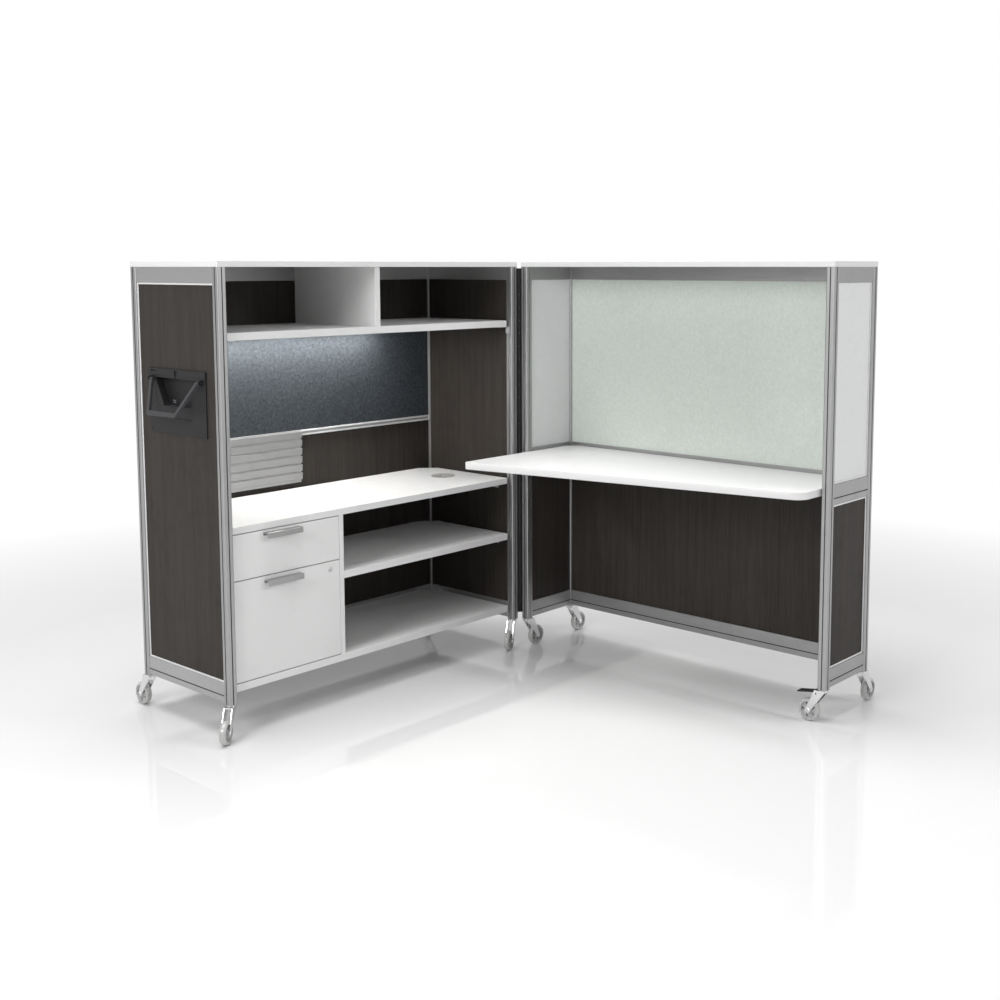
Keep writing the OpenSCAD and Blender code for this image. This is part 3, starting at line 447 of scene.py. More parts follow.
class Piece:
    """A new piece while it is modelled, from a primitive that was just added."""

    def __init__(self, name: str) -> None:
        """Name the active primitive and put its place into its mesh.

        Args:
            name: The piece's name.
        """
        self.body = bpy.context.active_object
        self.body.name = name
        self.body.data.name = name
        bpy.ops.object.transform_apply(location=True, rotation=True, scale=True)

    @classmethod
    def block(cls, name: str, low: Vector, high: Vector) -> "Piece":
        """Add a block between two corners.

        Args:
            name: The piece's name.
            low: Its lowest corner.
            high: Its highest corner.

        Returns:
            The piece.
        """
        start_piece()
        bpy.ops.mesh.primitive_cube_add(size=1.0, location=(low + high) / 2, scale=high - low)
        return cls(name)

    @classmethod
    def disc(cls, name: str, radius: float, depth: float, sides: int) -> "Piece":
        """Add a round bar at the origin with its axis along y.

        Args:
            name: The piece's name.
            radius: Its radius.
            depth: Its length.
            sides: Number of its flat sides.

        Returns:
            The piece.
        """
        start_piece()
        bpy.ops.mesh.primitive_cylinder_add(vertices=sides, radius=radius, depth=depth,
                                            rotation=(math.radians(90.0), 0.0, 0.0))
        return cls(name)

    def pick(self, faces: Callable[[Vector, Vector], bool]) -> "Piece":
        """Select faces by their centre and normal, in edit mode.

        Args:
            faces: Says whether a face is wanted.

        Returns:
            The piece.
        """
        bpy.ops.object.mode_set(mode="EDIT")
        bpy.ops.mesh.select_mode(type="FACE")
        bpy.ops.mesh.select_all(action="DESELECT")
        work = bmesh.from_edit_mesh(self.body.data)
        for face in work.faces:
            face.select_set(bool(faces(face.calc_center_median(), face.normal)))
        bmesh.update_edit_mesh(self.body.data)
        return self

    def pick_edges(self, edges: Callable[[Vector, Vector], bool]) -> "Piece":
        """Select edges by their two ends, in edit mode.

        Args:
            edges: Says whether an edge is wanted.

        Returns:
            The piece.
        """
        bpy.ops.object.mode_set(mode="EDIT")
        bpy.ops.mesh.select_mode(type="EDGE")
        bpy.ops.mesh.select_all(action="DESELECT")
        work = bmesh.from_edit_mesh(self.body.data)
        for edge in work.edges:
            edge.select_set(bool(edges(edge.verts[0].co, edge.verts[1].co)))
        bmesh.update_edit_mesh(self.body.data)
        return self

    def inset(self, width: float, sink: float = 0.0) -> "Piece":
        """Inset the picked faces, and sink them by a depth."""
        bpy.ops.mesh.inset(thickness=width, depth=-sink, use_even_offset=True)
        return self

    def bevel(self, width: float, segments: int = 2) -> "Piece":
        """Bevel the picked edges."""
        bpy.ops.mesh.bevel(offset=width, segments=segments, affect="EDGES")
        return self

    def apply(self, kind: str, **settings: object) -> "Piece":
        """Add a modifier, set it and apply it.

        Args:
            kind: The modifier's type.
            **settings: Its settings.

        Returns:
            The piece.
        """
        bpy.ops.object.mode_set(mode="OBJECT")
        modifier = self.body.modifiers.new(kind.lower(), kind)
        for name, value in settings.items():
            setattr(modifier, name, value)
        bpy.ops.object.modifier_apply(modifier=modifier.name)
        return self

    def drill(self, cutters: Iterable["Piece"]) -> "Piece":
        """Cut other pieces out of this one, and delete them.

        Args:
            cutters: The pieces that cut.

        Returns:
            The piece.
        """
        for cutter in cutters:
            bpy.ops.object.select_all(action="DESELECT")
            bpy.context.view_layer.objects.active = self.body
            self.apply("BOOLEAN", operation="DIFFERENCE", object=cutter.body, solver="EXACT")
            bpy.data.objects.remove(cutter.body, do_unlink=True)
        return self

    def done(self, finish: Finish, smooth: float = 35.0) -> bpy.types.Object:
        """Leave edit mode, point the faces outwards, smooth them and set the finish.

        Args:
            finish: What the piece is finished in.
            smooth: Angle up to which faces are smoothed, in degrees.

        Returns:
            The finished object.
        """
        bpy.ops.object.mode_set(mode="EDIT")
        bpy.ops.mesh.select_all(action="SELECT")
        bpy.ops.mesh.remove_doubles(threshold=MERGE_REACH)
        bpy.ops.mesh.normals_make_consistent(inside=False)
        bpy.ops.object.mode_set(mode="OBJECT")
        bpy.ops.object.select_all(action="DESELECT")
        self.body.select_set(True)
        bpy.ops.object.shade_smooth_by_angle(angle=math.radians(smooth))
        self.body.data.materials.clear()
        self.body.data.materials.append(finish.build())
        return self.body


def start_piece() -> None:
    """Leave edit mode and deselect everything, ready for a new primitive."""
    if bpy.context.mode != "OBJECT":
        bpy.ops.object.mode_set(mode="OBJECT")
    bpy.ops.object.select_all(action="DESELECT")


def copies(model: bpy.types.Object, name: str, places: Sequence[Matrix]) -> bpy.types.Object:
    """Lay out copies of a modelled piece, joined as one object with its own mesh.

    Args:
        model: The piece to repeat.
        name: Name of the result.
        places: A matrix for each copy.

    Returns:
        The joined copies.
    """
    start_piece()
    made = []
    for place in places:
        twin = model.copy()
        twin.data = model.data.copy()
        twin.data.transform(place)
        bpy.context.scene.collection.objects.link(twin)
        made.append(twin)
    for twin in made:
        twin.select_set(True)
    bpy.context.view_layer.objects.active = made[0]
    if len(made) > 1:
        bpy.ops.object.join()
    made[0].name = name
    made[0].data.name = name
    return made[0]


def retire(model: bpy.types.Object) -> None:
    """Remove a model whose copies are in place."""
    bpy.data.objects.remove(model, do_unlink=True)


def settle(piece: bpy.types.Object, body: str) -> None:
    """Let a piece ride on a body.

    Args:
        piece: The piece.
        body: The body that carries it.
    """
    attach(piece, body)
    LOG.info("made %s on %s", piece.name, body)


@dataclass(frozen=True)
class Unit:
    """One of the two units, with its hinge corner and the ways along its front and into its depth."""

    body: str
    corner: Vector
    along: Vector
    depth: Vector
    width: float
    deep: float

    @classmethod
    def of(cls, body: str, posts: str, along: Vector, depth: Vector) -> "Unit":
        """Read a unit's place from its posts.

        Args:
            body: The unit's body.
            posts: The node of its posts.
            along: The way from the hinge along its front.
            depth: The way from its front to its back.

        Returns:
            The unit.
        """
        low, high = (Vector(corner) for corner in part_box(posts))
        size, way = high - low, along + depth
        corner = Vector((low.x if way.x > 0 else high.x, low.y if way.y > 0 else high.y, low.z))
        return cls(body, corner, along, depth, abs(size.dot(along)), abs(size.dot(depth)))

    def at(self, x: float, y: float, z: float) -> Vector:
        """The place x along the front, y into the depth and z up, in metres, in the shared frame."""
        return self.corner + self.along * x + self.depth * y + UP * z


@dataclass(frozen=True)
class Section:
    """Sizes of the frames' parts, and heights of their rails above the posts' lower ends."""

    post: float = 30 * MM
    post_length: float = 1350 * MM
    panel: float = 14 * MM
    rail: float = 26 * MM
    bottom_rail: Rail = (6 * MM, 67 * MM)
    middle_rail: Rail = (599 * MM, 665 * MM)
    mullion: Rail = (740 * MM, 760 * MM)
    top_rail: float = 1301 * MM

    def groove(self, rail: Rail) -> float:
        """Height of a rail's groove, a third of the way up its face."""
        low, high = rail
        return low + (high - low) / 3


SECTION = Section()


@dataclass(frozen=True)
class PanelTrims:
    """Bright beads that hold the wall panels in the frames, round the outer face of every opening."""

    bead: float = 6 * MM
    proud: float = 2.6 * MM
    edge: float = 0.7 * MM

    def ring(self, name: str, unit: Unit, centre: Vector, wide: float, high: float, face: Vector) -> None:
        """One rectangular bead on one face of an opening.

        Args:
            name: The piece's name.
            unit: The unit that carries it.
            centre: Middle of the opening on the panel's face.
            wide: Width of the opening.
            high: Height of the opening.
            face: The way that the bead faces.
        """
        start_piece()
        bpy.ops.mesh.primitive_plane_add(size=1.0)
        turn = Matrix((UP.cross(face), UP, face)).transposed().to_4x4()
        scale = Matrix.Diagonal((wide, high, 1.0, 1.0))
        bpy.context.active_object.matrix_world = Matrix.Translation(centre) @ turn @ scale
        piece = Piece(name)
        piece.pick(lambda middle, normal: True).inset(self.bead)
        bpy.ops.mesh.delete(type="FACE")
        piece.apply("SOLIDIFY", thickness=self.proud, offset=1.0)
        piece.apply("BEVEL", width=self.edge, segments=2, limit_method="ANGLE")
        settle(piece.done(TRIM_METAL), unit.body)

    def side_pair(self, name: str, unit: Unit, low: float, high: float) -> None:
        """Beads on the outer faces of both side panels between two heights.

        Args:
            name: Start of the pieces' names.
            unit: The unit that carries them.
            low: Lower edge of the opening.
            high: Upper edge of the opening.
        """
        post, middle = SECTION.post, (low + high) / 2
        for end, place, sign in (("hinge", post / 2, -1.0), ("far", unit.width - post / 2, 1.0)):
            centre = unit.at(place + sign * SECTION.panel / 2, unit.deep / 2, middle)
            self.ring(f"{name}_{end}", unit, centre, unit.deep - 2 * post, high - low, unit.along * sign)

    def back_bead(self, name: str, unit: Unit, low: float, high: float) -> None:
        """A bead on the outer face of the back between two heights.

        Args:
            name: The piece's name.
            unit: The unit that carries it.
            low: Lower edge of the opening.
            high: Upper edge of the opening.
        """
        face = unit.deep - (SECTION.post - SECTION.panel) / 2
        centre = unit.at(unit.width / 2, face, (low + high) / 2)
        self.ring(name, unit, centre, unit.width - 2 * SECTION.post, high - low, unit.depth)

    def mullion_bead(self, name: str, unit: Unit) -> None:
        """A flat bead on the mullion's front, from the hinge-side post to the tool rail.

        Args:
            name: The piece's name.
            unit: The unit that carries it.
        """
        reach = unit.corner.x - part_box("tool_rail")[1][0]
        low, high = SECTION.mullion
        front = unit.deep - SECTION.post / 2 - SECTION.rail / 2
        centre = unit.at((SECTION.post + reach) / 2, front, (low + high) / 2)
        self.ring(name, unit, centre, reach - SECTION.post, high - low, -unit.depth)

    def build(self, storage: Unit, desk: Unit) -> None:
        """Make every bead of both units.

        Args:
            storage: The storage unit.
            desk: The desk unit.
        """
        bottom, top = SECTION.bottom_rail[1], SECTION.top_rail
        self.side_pair("storage_side_bead", storage, bottom, top)
        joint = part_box("storage_back_board")[1][2] - storage.corner.z
        self.back_bead("storage_upper_bead", storage, joint, top)
        self.back_bead("storage_slate_bead", storage, SECTION.mullion[1], joint)
        self.back_bead("storage_lower_bead", storage, bottom, SECTION.mullion[0])
        self.mullion_bead("storage_mullion_bead", storage)
        below, above = SECTION.middle_rail
        self.side_pair("desk_upper_side_bead", desk, above, top)
        self.side_pair("desk_lower_side_bead", desk, bottom, below)
        self.back_bead("desk_upper_back_bead", desk, above, top)
        self.back_bead("desk_lower_back_bead", desk, bottom, below)


@dataclass(frozen=True)
class GrooveShadeStrips:
    """Black rubber strips in the fine grooves of the rails and of the posts' outer faces: painted shade, dark
    strips that stand in for the shade inside the grooves.
    """

    groove: float = 2.5 * MM
    cut: float = 2.0 * MM
    lip: float = 0.5 * MM
    proud: float = 0.4 * MM
    play: float = 0.1 * MM
    post_end: float = 1 * MM

    def strip(self) -> bpy.types.Object:
        """Model one metre of the black painted-shade strip along x, facing -y, with a lip over the face and a
        stem in the groove.

        Returns:
            The model.
        """
        metre, wall_slant = 1.0, self.play / 10
        half = Vector((metre / 2, self.proud / 2, self.groove / 2 + self.lip))
        piece = Piece.block("seal_model", -half, half)
        piece.pick(lambda middle, normal: normal.y > FACING).inset(self.lip + self.play)
        piece.inset(wall_slant, self.play - self.cut)
        piece.pick_edges(lambda a, b: max(a.y, b.y) < 0 and abs(a.z - b.z) < self.play)
        piece.bevel(self.proud / 2)
        return piece.done(GROOVE_SHADE_RUBBER)

    def place(self, spot: Vector, run: Vector, face: Vector, length: float) -> Matrix:
        """Where one seal goes.

        Args:
            spot: Middle of the groove, on the face.
            run: The way that the groove runs.
            face: The way that the groove faces.
            length: Length of the seal.

        Returns:
            The matrix of the seal.
        """
        turn = Matrix((run, -face, face.cross(run))).transposed().to_4x4()
        middle = spot + face * self.proud / 2
        return Matrix.Translation(middle) @ turn @ Matrix.Diagonal((length, 1.0, 1.0, 1.0))

    def build(self, name: str, unit: Unit, heights: Sequence[float]) -> None:
        """Lay the black painted-shade strips of one unit.

        Args:
            name: The piece's name.
            unit: The unit that carries them.
            heights: Height of each grooved rail's groove.
        """
        model = self.strip()
        places = []
        post, rail = SECTION.post, SECTION.rail
        near, far, back = post / 2, unit.width - post / 2, unit.deep - post / 2
        for z in heights:
            for side in (-1.0, 1.0):
                for x in (near, far):
                    spot = unit.at(x + side * rail / 2, unit.deep / 2, z)
                    places.append(self.place(spot, unit.depth, unit.along * side, unit.deep - 2 * post))
                spot = unit.at(unit.width / 2, back + side * rail / 2, z)
                places.append(self.place(spot, unit.along, unit.depth * side, unit.width - 2 * post))
        for x, y, face in ((near, 0.0, -unit.depth), (far, 0.0, -unit.depth), (unit.width, near, unit.along),
                           (unit.width, back, unit.along), (0.0, back, -unit.along),
                           (near, unit.deep, unit.depth), (far, unit.deep, unit.depth)):
            spot = unit.at(x, y, SECTION.post_length / 2)
            places.append(self.place(spot, UP, face, SECTION.post_length - 2 * self.post_end))
        settle(copies(model, name, places), unit.body)
        retire(model)


@dataclass
class Screws:
    """Screw heads, modelled once and set in rows."""

    radius: float = 3.4 * MM
    height: float = 1.2 * MM
    dome: float = 0.54 * MM
    socket_rim: float = 1.19 * MM
    socket_slant: float = 0.1 * MM
    socket_depth: float = 0.72 * MM
    hinge_first: float = 60 * MM
    hinge_step: float = 123 * MM
    hinge_count: int = 11
    hinge_leaf: float = 1.8 * MM
    hinge_line: float = 12 * MM
    tray_sunk: float = 4 * MM
    tray_inset: float = 12 * MM
    tray_top: float = 85 * MM
    tray_scale: float = 0.9
    arm_under: float = 605 * MM
    arm_shares: tuple[float, ...] = (0.13, 0.87)  # of the desk unit's width
    arm_rows: tuple[float, ...] = (80 * MM, 160 * MM, 230 * MM)
    arm_scale: float = 1.3
    bracket_under: float = 1124 * MM
    bracket_inset: float = 58 * MM
    bracket_rows: tuple[float, ...] = (45 * MM, 440 * MM)
    model: bpy.types.Object | None = None

    def head(self) -> bpy.types.Object:
        """Model one domed head with a round socket, facing -y from the origin.

        Returns:
            The model.
        """
        piece = Piece.disc("screw_model", self.radius, self.height, sides=24)
        piece.pick_edges(lambda a, b: a.y < 0 and b.y < 0).bevel(self.dome, segments=3)
        piece.pick(lambda middle, normal: normal.y < -FACING).inset(self.socket_rim)
        piece.inset(self.socket_slant, self.socket_depth)
        head = piece.done(SCREW_METAL)
        head.data.transform(Matrix.Translation((0.0, -self.height / 2, 0.0)))
        return head

    def row(self, name: str, body: str, spots: Sequence[tuple[Vector, Vector]], finish: Finish,
            scale: float = 1.0) -> None:
        """Set heads on their spots.

        Args:
            name: Name of the joined heads.
            body: The body that carries them.
            spots: For each head, its place and the way that it faces.
            finish: What they are finished in.
            scale: Size against the usual head.
        """
        places = []
        for spot, facing in spots:
            turn = Vector((0.0, -1.0, 0.0)).rotation_difference(facing).to_matrix().to_4x4()
            places.append(Matrix.Translation(spot) @ turn @ Matrix.Scale(scale, 4))
        heads = copies(self.model, name, places)
        heads.data.materials.clear()
        heads.data.materials.append(finish.build())
        settle(heads, body)

    def build(self, storage: Unit, desk: Unit) -> None:
        """Set the rows on hinge leaves, handle tray, brackets and desk arms.

        Args:
            storage: The storage unit.
            desk: The desk unit.
        """
        self.model = self.head()
        for unit, name in ((storage, "storage_hinge_screws"), (desk, "desk_hinge_screws")):
            spots = [(unit.at(-self.hinge_leaf, self.hinge_line, self.hinge_first + self.hinge_step * step),
                      -unit.along) for step in range(self.hinge_count)]
            self.row(name, unit.body, spots, HINGE_BLACK)
        low, high = (Vector(corner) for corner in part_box("handle_tray"))
        face = storage.at(storage.width - self.tray_sunk, 0.0, 0.0).x
        spots = [(Vector((face, y, low.z + rise)), storage.along)
                 for y in (low.y + self.tray_inset, high.y - self.tray_inset)
                 for rise in (self.tray_inset, self.tray_top)]
        self.row("handle_tray_screws", storage.body, spots, TRAY_PLASTIC, self.tray_scale)
        spots = [(desk.at(share * desk.width, y, self.arm_under), -UP)
                 for share in self.arm_shares for y in self.arm_rows]
        self.row("desk_arm_screws", desk.body, spots, SCREW_METAL, self.arm_scale)
        spots = [(storage.at(x, y, self.bracket_under), -UP)
                 for x in (self.bracket_inset, storage.width - self.bracket_inset) for y in self.bracket_rows]
        self.row("shelf_bracket_screws", storage.body, spots, SCREW_METAL)
        retire(self.model)


@dataclass(frozen=True)
class Wheels:
    """Caster wheels: a pale tyre on a hub with five holes, an axle nut on each side of its fork."""

    radius: float = 37.5 * MM
    width: float = 21 * MM
    rim: float = 28.5 * MM
    shoulder: float = 7 * MM
    hub_play: float = 0.05 * MM
    hub_recess: float = 1 * MM
    hub_width: float = 22 * MM
    hub_edge: float = 0.4 * MM
    web: float = 10 * MM
    bore: float = 4.3 * MM
    holes: int = 5
    hole: float = 5.5 * MM
    hole_ring: float = 20.25 * MM
    lip: float = 2 * MM
    boss: float = 12 * MM
    wall_slant: float = 0.4 * MM
    cutter: float = 50 * MM
    fork_half: float = 14.2 * MM
    nut_radius: float = 6 * MM
    nut_height: float = 1.7 * MM
    nut_edge: float = 0.5 * MM
    nut_wall: float = 2.6 * MM
    nut_end: float = 0.4 * MM
    near: float = 0.2 * MM  # how close an edge has to be to a circle to lie on it

    def tyre(self) -> bpy.types.Object:
        """Model the tyre round the y axis: a ring with round shoulders.

        Returns:
            The model.
        """
        piece = Piece.disc("tyre_model", self.radius, self.width, sides=72)
        piece.pick(lambda middle, normal: abs(normal.y) > FACING).inset(self.radius - self.rim)
        bpy.ops.mesh.delete(type="FACE")
        piece.pick_edges(lambda a, b: max(a.xz.length, b.xz.length) < self.rim + self.near)
        bpy.ops.mesh.bridge_edge_loops()
        piece.pick_edges(lambda a, b: min(a.xz.length, b.xz.length) > self.radius - self.near
                         and abs(a.y - b.y) < self.near)
        piece.bevel(self.shoulder, segments=6)
        return piece.done(TYRE)

    def hub(self) -> bpy.types.Object:
        """Model the hub round the y axis: a rim, a sunk web with holes, and a boss with its bore.

        Returns:
            The model.
        """
        deep = self.width - 2 * self.hub_recess
        piece = Piece.disc("hub_model", self.rim - self.hub_play, deep, sides=60)
        piece.pick(lambda middle, normal: abs(normal.y) > FACING).inset(self.lip)
        piece.inset(self.wall_slant, (deep - self.web) / 2)
        piece.inset(self.rim - self.lip - self.boss - 2 * self.wall_slant)
        piece.inset(self.wall_slant, -(self.hub_width - self.web) / 2)
        bpy.ops.object.mode_set(mode="OBJECT")
        cutters = [Piece.disc("bore_cut", self.bore, self.cutter, sides=24)]
        for step in range(self.holes):
            hole = Piece.disc("hole_cut", self.hole, self.cutter, sides=20)
            angle = math.tau * step / self.holes
            spot = Vector((math.cos(angle), 0.0, math.sin(angle))) * self.hole_ring
            hole.body.data.transform(Matrix.Translation(spot))
            cutters.append(hole)
        piece.drill(cutters)
        piece.apply("BEVEL", width=self.hub_edge, segments=1, limit_method="ANGLE")
        return piece.done(HUB)

    def nut(self) -> bpy.types.Object:
        """Model one six-sided axle nut, facing -y from the origin.

        Returns:
            The model.
        """
        piece = Piece.disc("nut_model", self.nut_radius, self.nut_height, sides=6)
        piece.pick_edges(lambda a, b: a.y < 0 and b.y < 0).bevel(self.nut_edge)
        piece.pick(lambda middle, normal: normal.y < -FACING).inset(self.nut_wall, -self.nut_end)
        nut = piece.done(CHROME, smooth=25.0)
        nut.data.transform(Matrix.Translation((0.0, -self.nut_height / 2, 0.0)))
        return nut

    def build(self) -> None:
        """Set a tyre, a hub and two nuts at every rolling joint."""
        tyre, hub, nut = self.tyre(), self.hub(), self.nut()
        half_turn = Matrix.Rotation(math.pi, 4, "Z")
        outwards = Matrix.Translation((0.0, -self.fork_half, 0.0))
        for joint in frame["joints"]:
            if not joint["name"].startswith("roll_"):
                continue
            place = joint["name"].removeprefix("roll_")
            turn = Vector((0.0, 1.0, 0.0)).rotation_difference(Vector(joint["axis"])).to_matrix().to_4x4()
            here = Matrix.Translation(joint["pos_m"]) @ turn
            ring = copies(tyre, f"tyre_{place}", [here])
            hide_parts(f"wheel_{place}")
            settle(ring, joint["child"])
            settle(copies(hub, f"hub_{place}", [here]), joint["child"])
            sides = [here @ outwards, here @ half_turn @ outwards]
            settle(copies(nut, f"axle_nuts_{place}", sides), joint["parent"])
        for model in (tyre, hub, nut):
            retire(model)


@dataclass(frozen=True)
class Pedal:
    """Grip ribs across the brake pedal, whose pad rises from its end to its bend."""

    ribs: int = 4
    first: float = 5 * MM
    pitch: float = 9 * MM
    rise: float = 0.9 * MM
    half_width: float = 0.8 * MM
    inset: float = 3 * MM
    edge: float = 0.35 * MM
    end_top: float = 94.7 * MM
    bend_top: float = 103.8 * MM
    run: float = 52.9 * MM

    def build(self) -> None:
        """Set the ribs on the pedal's pad."""
        low, high = (Vector(corner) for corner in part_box("brake_pedal"))
        model = Piece.block("rib_model", Vector((low.x + self.inset, -self.half_width, -self.rise)),
                            Vector((high.x - self.inset, self.half_width, self.rise)))
        rib = model.apply("BEVEL", width=self.edge, segments=2, limit_method="ANGLE").done(PEDAL_RUBBER)
        climb = self.bend_top - self.end_top
        slope = Matrix.Rotation(-math.atan2(climb, self.run), 4, "X")
        places = []
        for step in range(self.ribs):
            back = self.first + self.pitch * step
            top = self.end_top + climb * back / self.run
            places.append(Matrix.Translation((0.0, high.y - back, top)) @ slope)
        settle(copies(rib, "pedal_ribs", places), "brake")
        retire(rib)


@dataclass(frozen=True)
class Structure:
    """Finishes of the frames, boards, drawers, fittings and casters that the CAD holds."""

    units: tuple[str, ...] = ("storage", "desk")
    corners: tuple[str, ...] = ("front_left", "front_right", "back_left", "back_right")

    def build(self) -> None:
        """Dress every CAD node."""
        for node in ("storage_posts", "desk_posts"):
            dress(node, POST_METAL)
        for node, finish in (("storage_rails", RAIL_METAL_X), ("desk_rails", RAIL_METAL_Y),
                             ("storage_mullion", RAIL_METAL_X)):
            dress(node, finish, edge_mm=0.5, segments=1)
        for node in ("storage_left_panel", "storage_wall_panels", "desk_lower_panels"):
            dress(node, DARK_LAMINATE)
        dress("storage_back_board", SLATE)
        dress("marker_board", MARKER_GLASS)
        dress("desk_upper_side_panels", WHITE_PANEL)
        for node in ("storage_cover", "desk_cover", "worktop", "desk_top_board", "upper_shelf",
                     "shelf_divider", "lower_shelves", "box_drawer_front", "file_drawer_front"):
            dress(node, WHITE_LAMINATE, edge_mm=1.0)
        for node in ("pedestal_sides", "pedestal_decks", "pedestal_back_board"):
            dress(node, WHITE_LAMINATE, edge_mm=0.6)
        for node in ("box_drawer_tray", "file_drawer_tray"):
            dress(node, TRAY_BOARD, edge_mm=0.6)
        dress("light_housing", TOOL_RAIL, edge_mm=0.6)
        dress("light_lens", LENS, edge_mm=0.4)
        dress("tool_rail", TOOL_RAIL, edge_mm=0.4)
        for node in ("box_drawer_pull", "file_drawer_pull"):
            dress(node, PULL_METAL, edge_mm=0.8, segments=3)
        for node in ("grommet_sleeve", "grommet_cap"):
            dress(node, GROMMET, edge_mm=0.6)
        for node in ("shelf_brackets", "desk_supports", "fixed_runners", "box_drawer_runners",
                     "file_drawer_runners"):
            dress(node, BRACKET_PAINT, edge_mm=0.4, segments=1)
        dress("drawer_lock", CHROME, edge_mm=0.3, segments=1)
        dress("handle_tray", TRAY_PLASTIC, edge_mm=1.0, segments=3)
        dress("handle_bail", BAIL_PLASTIC, edge_mm=2.2, segments=3)
        for node in ("storage_hinge_leaf", "desk_hinge_leaf", "hinge_pin"):
            dress(node, HINGE_BLACK)
        dress("brake_pedal", PEDAL_RUBBER, edge_mm=0.8)
        for unit in self.units:
            for corner in self.corners:
                dress(f"fork_{unit}_{corner}", CHROME, edge_mm=0.7)
                dress(f"wheel_{unit}_{corner}", TYRE)


@dataclass(frozen=True)
class Lamp:
    """A square soft lamp: where it hangs, what it points at, its width and its power in watts."""

    name: str
    place: Place
    aim: Place
    size: float
    power: float

    def hang(self) -> None:
        """Add the lamp to the scene."""
        data = bpy.data.lights.new(self.name, "AREA")
        data.size = self.size
        data.energy = self.power
        lamp = bpy.data.objects.new(self.name, data)
        lamp.location = self.place
        lamp.rotation_euler = (Vector(self.aim) - Vector(self.place)).to_track_quat("-Z", "Y").to_euler()
        bpy.context.scene.collection.objects.link(lamp)


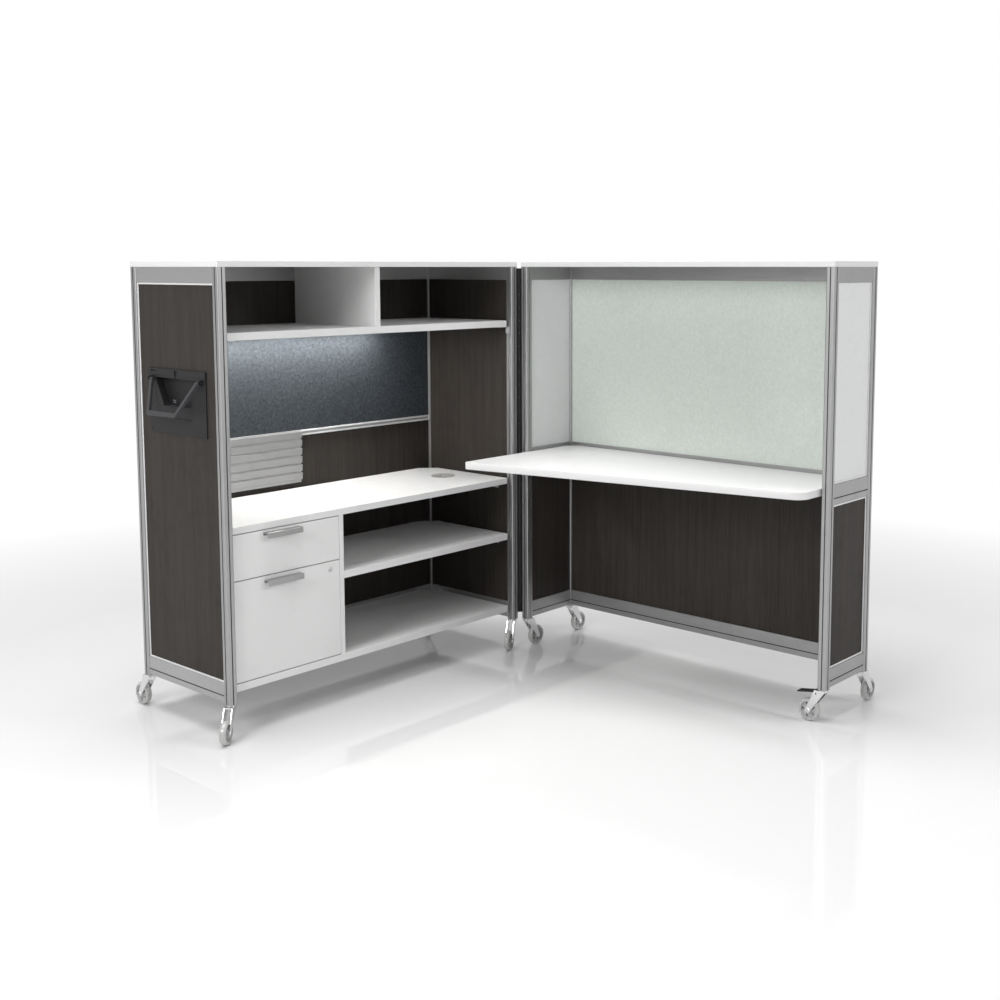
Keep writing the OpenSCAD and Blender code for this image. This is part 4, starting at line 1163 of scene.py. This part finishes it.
@dataclass(frozen=True)
class Studio:
    """Pale floor, white surround, soft lamps and the camera of the photograph's view."""

    eye: Place = (-3.0213, -2.8692, 1.462)
    heading: float = 49.1851
    pitch: float = 6.1516
    sensor: float = 36.0
    lens: float = 45.7329
    shift: tuple[float, float] = (-0.059558, -0.096212)
    sight: float = 60.0
    floor_radius: float = 14.0
    floor_tones: tuple[float, float] = (0.77, 0.79)
    floor_roughness: float = 0.025
    fade: tuple[float, float] = (2.1, 3.8)
    room: float = 0.30
    mirrored: float = 0.6
    lamps: tuple[Lamp, ...] = (
        Lamp("key", (-0.8, 1.1, 9.0), (-0.4, -0.1, 0.0), 6.2, 720.0),
        Lamp("left_fill", (-4.2, -0.5, 2.7), (0.2, -0.6, 1.0), 1.6, 86.0),
        Lamp("right_fill", (2.0, -4.6, 3.2), (0.1, -1.2, 0.9), 2.0, 68.0),
    )

    def camera(self) -> None:
        """Set the camera."""
        data = bpy.data.cameras.new("view")
        data.sensor_width = self.sensor
        data.lens = self.lens
        data.shift_x, data.shift_y = self.shift
        data.clip_end = self.sight
        view = bpy.data.objects.new("view", data)
        view.location = self.eye
        view.rotation_euler = (math.radians(90.0 - self.pitch), 0.0, math.radians(-self.heading))
        bpy.context.scene.collection.objects.link(view)
        bpy.context.scene.camera = view

    def floor(self) -> None:
        """Lay a glossy pale floor that fades into white away from the workstation."""
        start_piece()
        bpy.ops.mesh.primitive_circle_add(vertices=96, radius=self.floor_radius, fill_type="NGON",
                                          location=(0.0, 0.0, 0.0))
        floor = Piece("floor").body
        material = bpy.data.materials.new("pale_floor")
        material.use_nodes = True
        sheet = Sheet(material.node_tree)
        shader = material.node_tree.nodes["Principled BSDF"]
        output = material.node_tree.nodes["Material Output"]
        place = sheet.add("ShaderNodeTexCoord").outputs["Object"]
        pattern = sheet.effect(Effect.MOTTLE, place, Size=30.0, Contrast=0.3)
        dark, light = (grey(tone) for tone in self.floor_tones)
        sheet.feed(shader.inputs["Base Color"], sheet.mix(pattern.outputs["Mask"], dark, light))
        shader.inputs["Roughness"].default_value = self.floor_roughness
        length = sheet.tree.nodes.new("ShaderNodeVectorMath")
        length.operation = "LENGTH"
        sheet.feed(length.inputs[0], place)
        start, end = self.fade
        far = sheet.span(length.outputs["Value"], 0.0, 1.0, start, end)
        rays = sheet.add("ShaderNodeLightPath")
        seen = sheet.calc("MAXIMUM", rays.outputs["Is Camera Ray"], rays.outputs["Is Glossy Ray"])
        white = sheet.add("ShaderNodeEmission", Color=(*grey(1.0), 1.0), Strength=1.0)
        blend = sheet.tree.nodes.new("ShaderNodeMixShader")
        sheet.feed(blend.inputs[0], sheet.calc("MULTIPLY", far, seen))
        sheet.feed(blend.inputs[1], shader.outputs[0])
        sheet.feed(blend.inputs[2], white.outputs[0])
        sheet.feed(output.inputs["Surface"], blend.outputs[0])
        floor.data.materials.append(material)

    def world(self) -> None:
        """Light the room evenly and show plain white behind the workstation."""
        world = bpy.data.worlds.new("white_room")
        bpy.context.scene.world = world
        world.use_nodes = True
        sheet = Sheet(world.node_tree)
        ground = world.node_tree.nodes["Background"]
        rays = sheet.add("ShaderNodeLightPath")
        seen = sheet.calc("MAXIMUM", rays.outputs["Is Camera Ray"], rays.outputs["Is Transmission Ray"])
        mirrored = sheet.calc("MULTIPLY", rays.outputs["Is Glossy Ray"], self.mirrored)
        strength = sheet.calc("MAXIMUM", sheet.span(seen, self.room, 1.0), mirrored)
        sheet.feed(ground.inputs["Color"], (*grey(1.0), 1.0))
        sheet.feed(ground.inputs["Strength"], strength)

    def build(self) -> None:
        """Set floor, surround, lamps and camera."""
        self.floor()
        self.world()
        for lamp in self.lamps:
            lamp.hang()
        self.camera()
        bpy.context.scene.view_settings.view_transform = "Standard"


def main() -> None:
    """Dress the frame, add every piece and set the studio."""
    logging.basicConfig(level=logging.INFO, format="%(message)s")
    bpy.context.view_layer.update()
    start_piece()
    storage = Unit.of("storage_unit", "storage_posts", Vector((-1.0, 0.0, 0.0)), Vector((0.0, 1.0, 0.0)))
    desk = Unit.of("desk_unit", "desk_posts", Vector((0.0, -1.0, 0.0)), Vector((1.0, 0.0, 0.0)))
    Structure().build()
    PanelTrims().build(storage, desk)
    bottom, middle = SECTION.groove(SECTION.bottom_rail), SECTION.groove(SECTION.middle_rail)
    # Black strips in the rail and post grooves: painted shade.
    GrooveShadeStrips().build("storage_rail_seals", storage, (bottom,))
    GrooveShadeStrips().build("desk_rail_seals", desk, (bottom, middle))
    Screws().build(storage, desk)
    Wheels().build()
    Pedal().build()
    Studio().build()


if __name__ == "__main__":
    main()
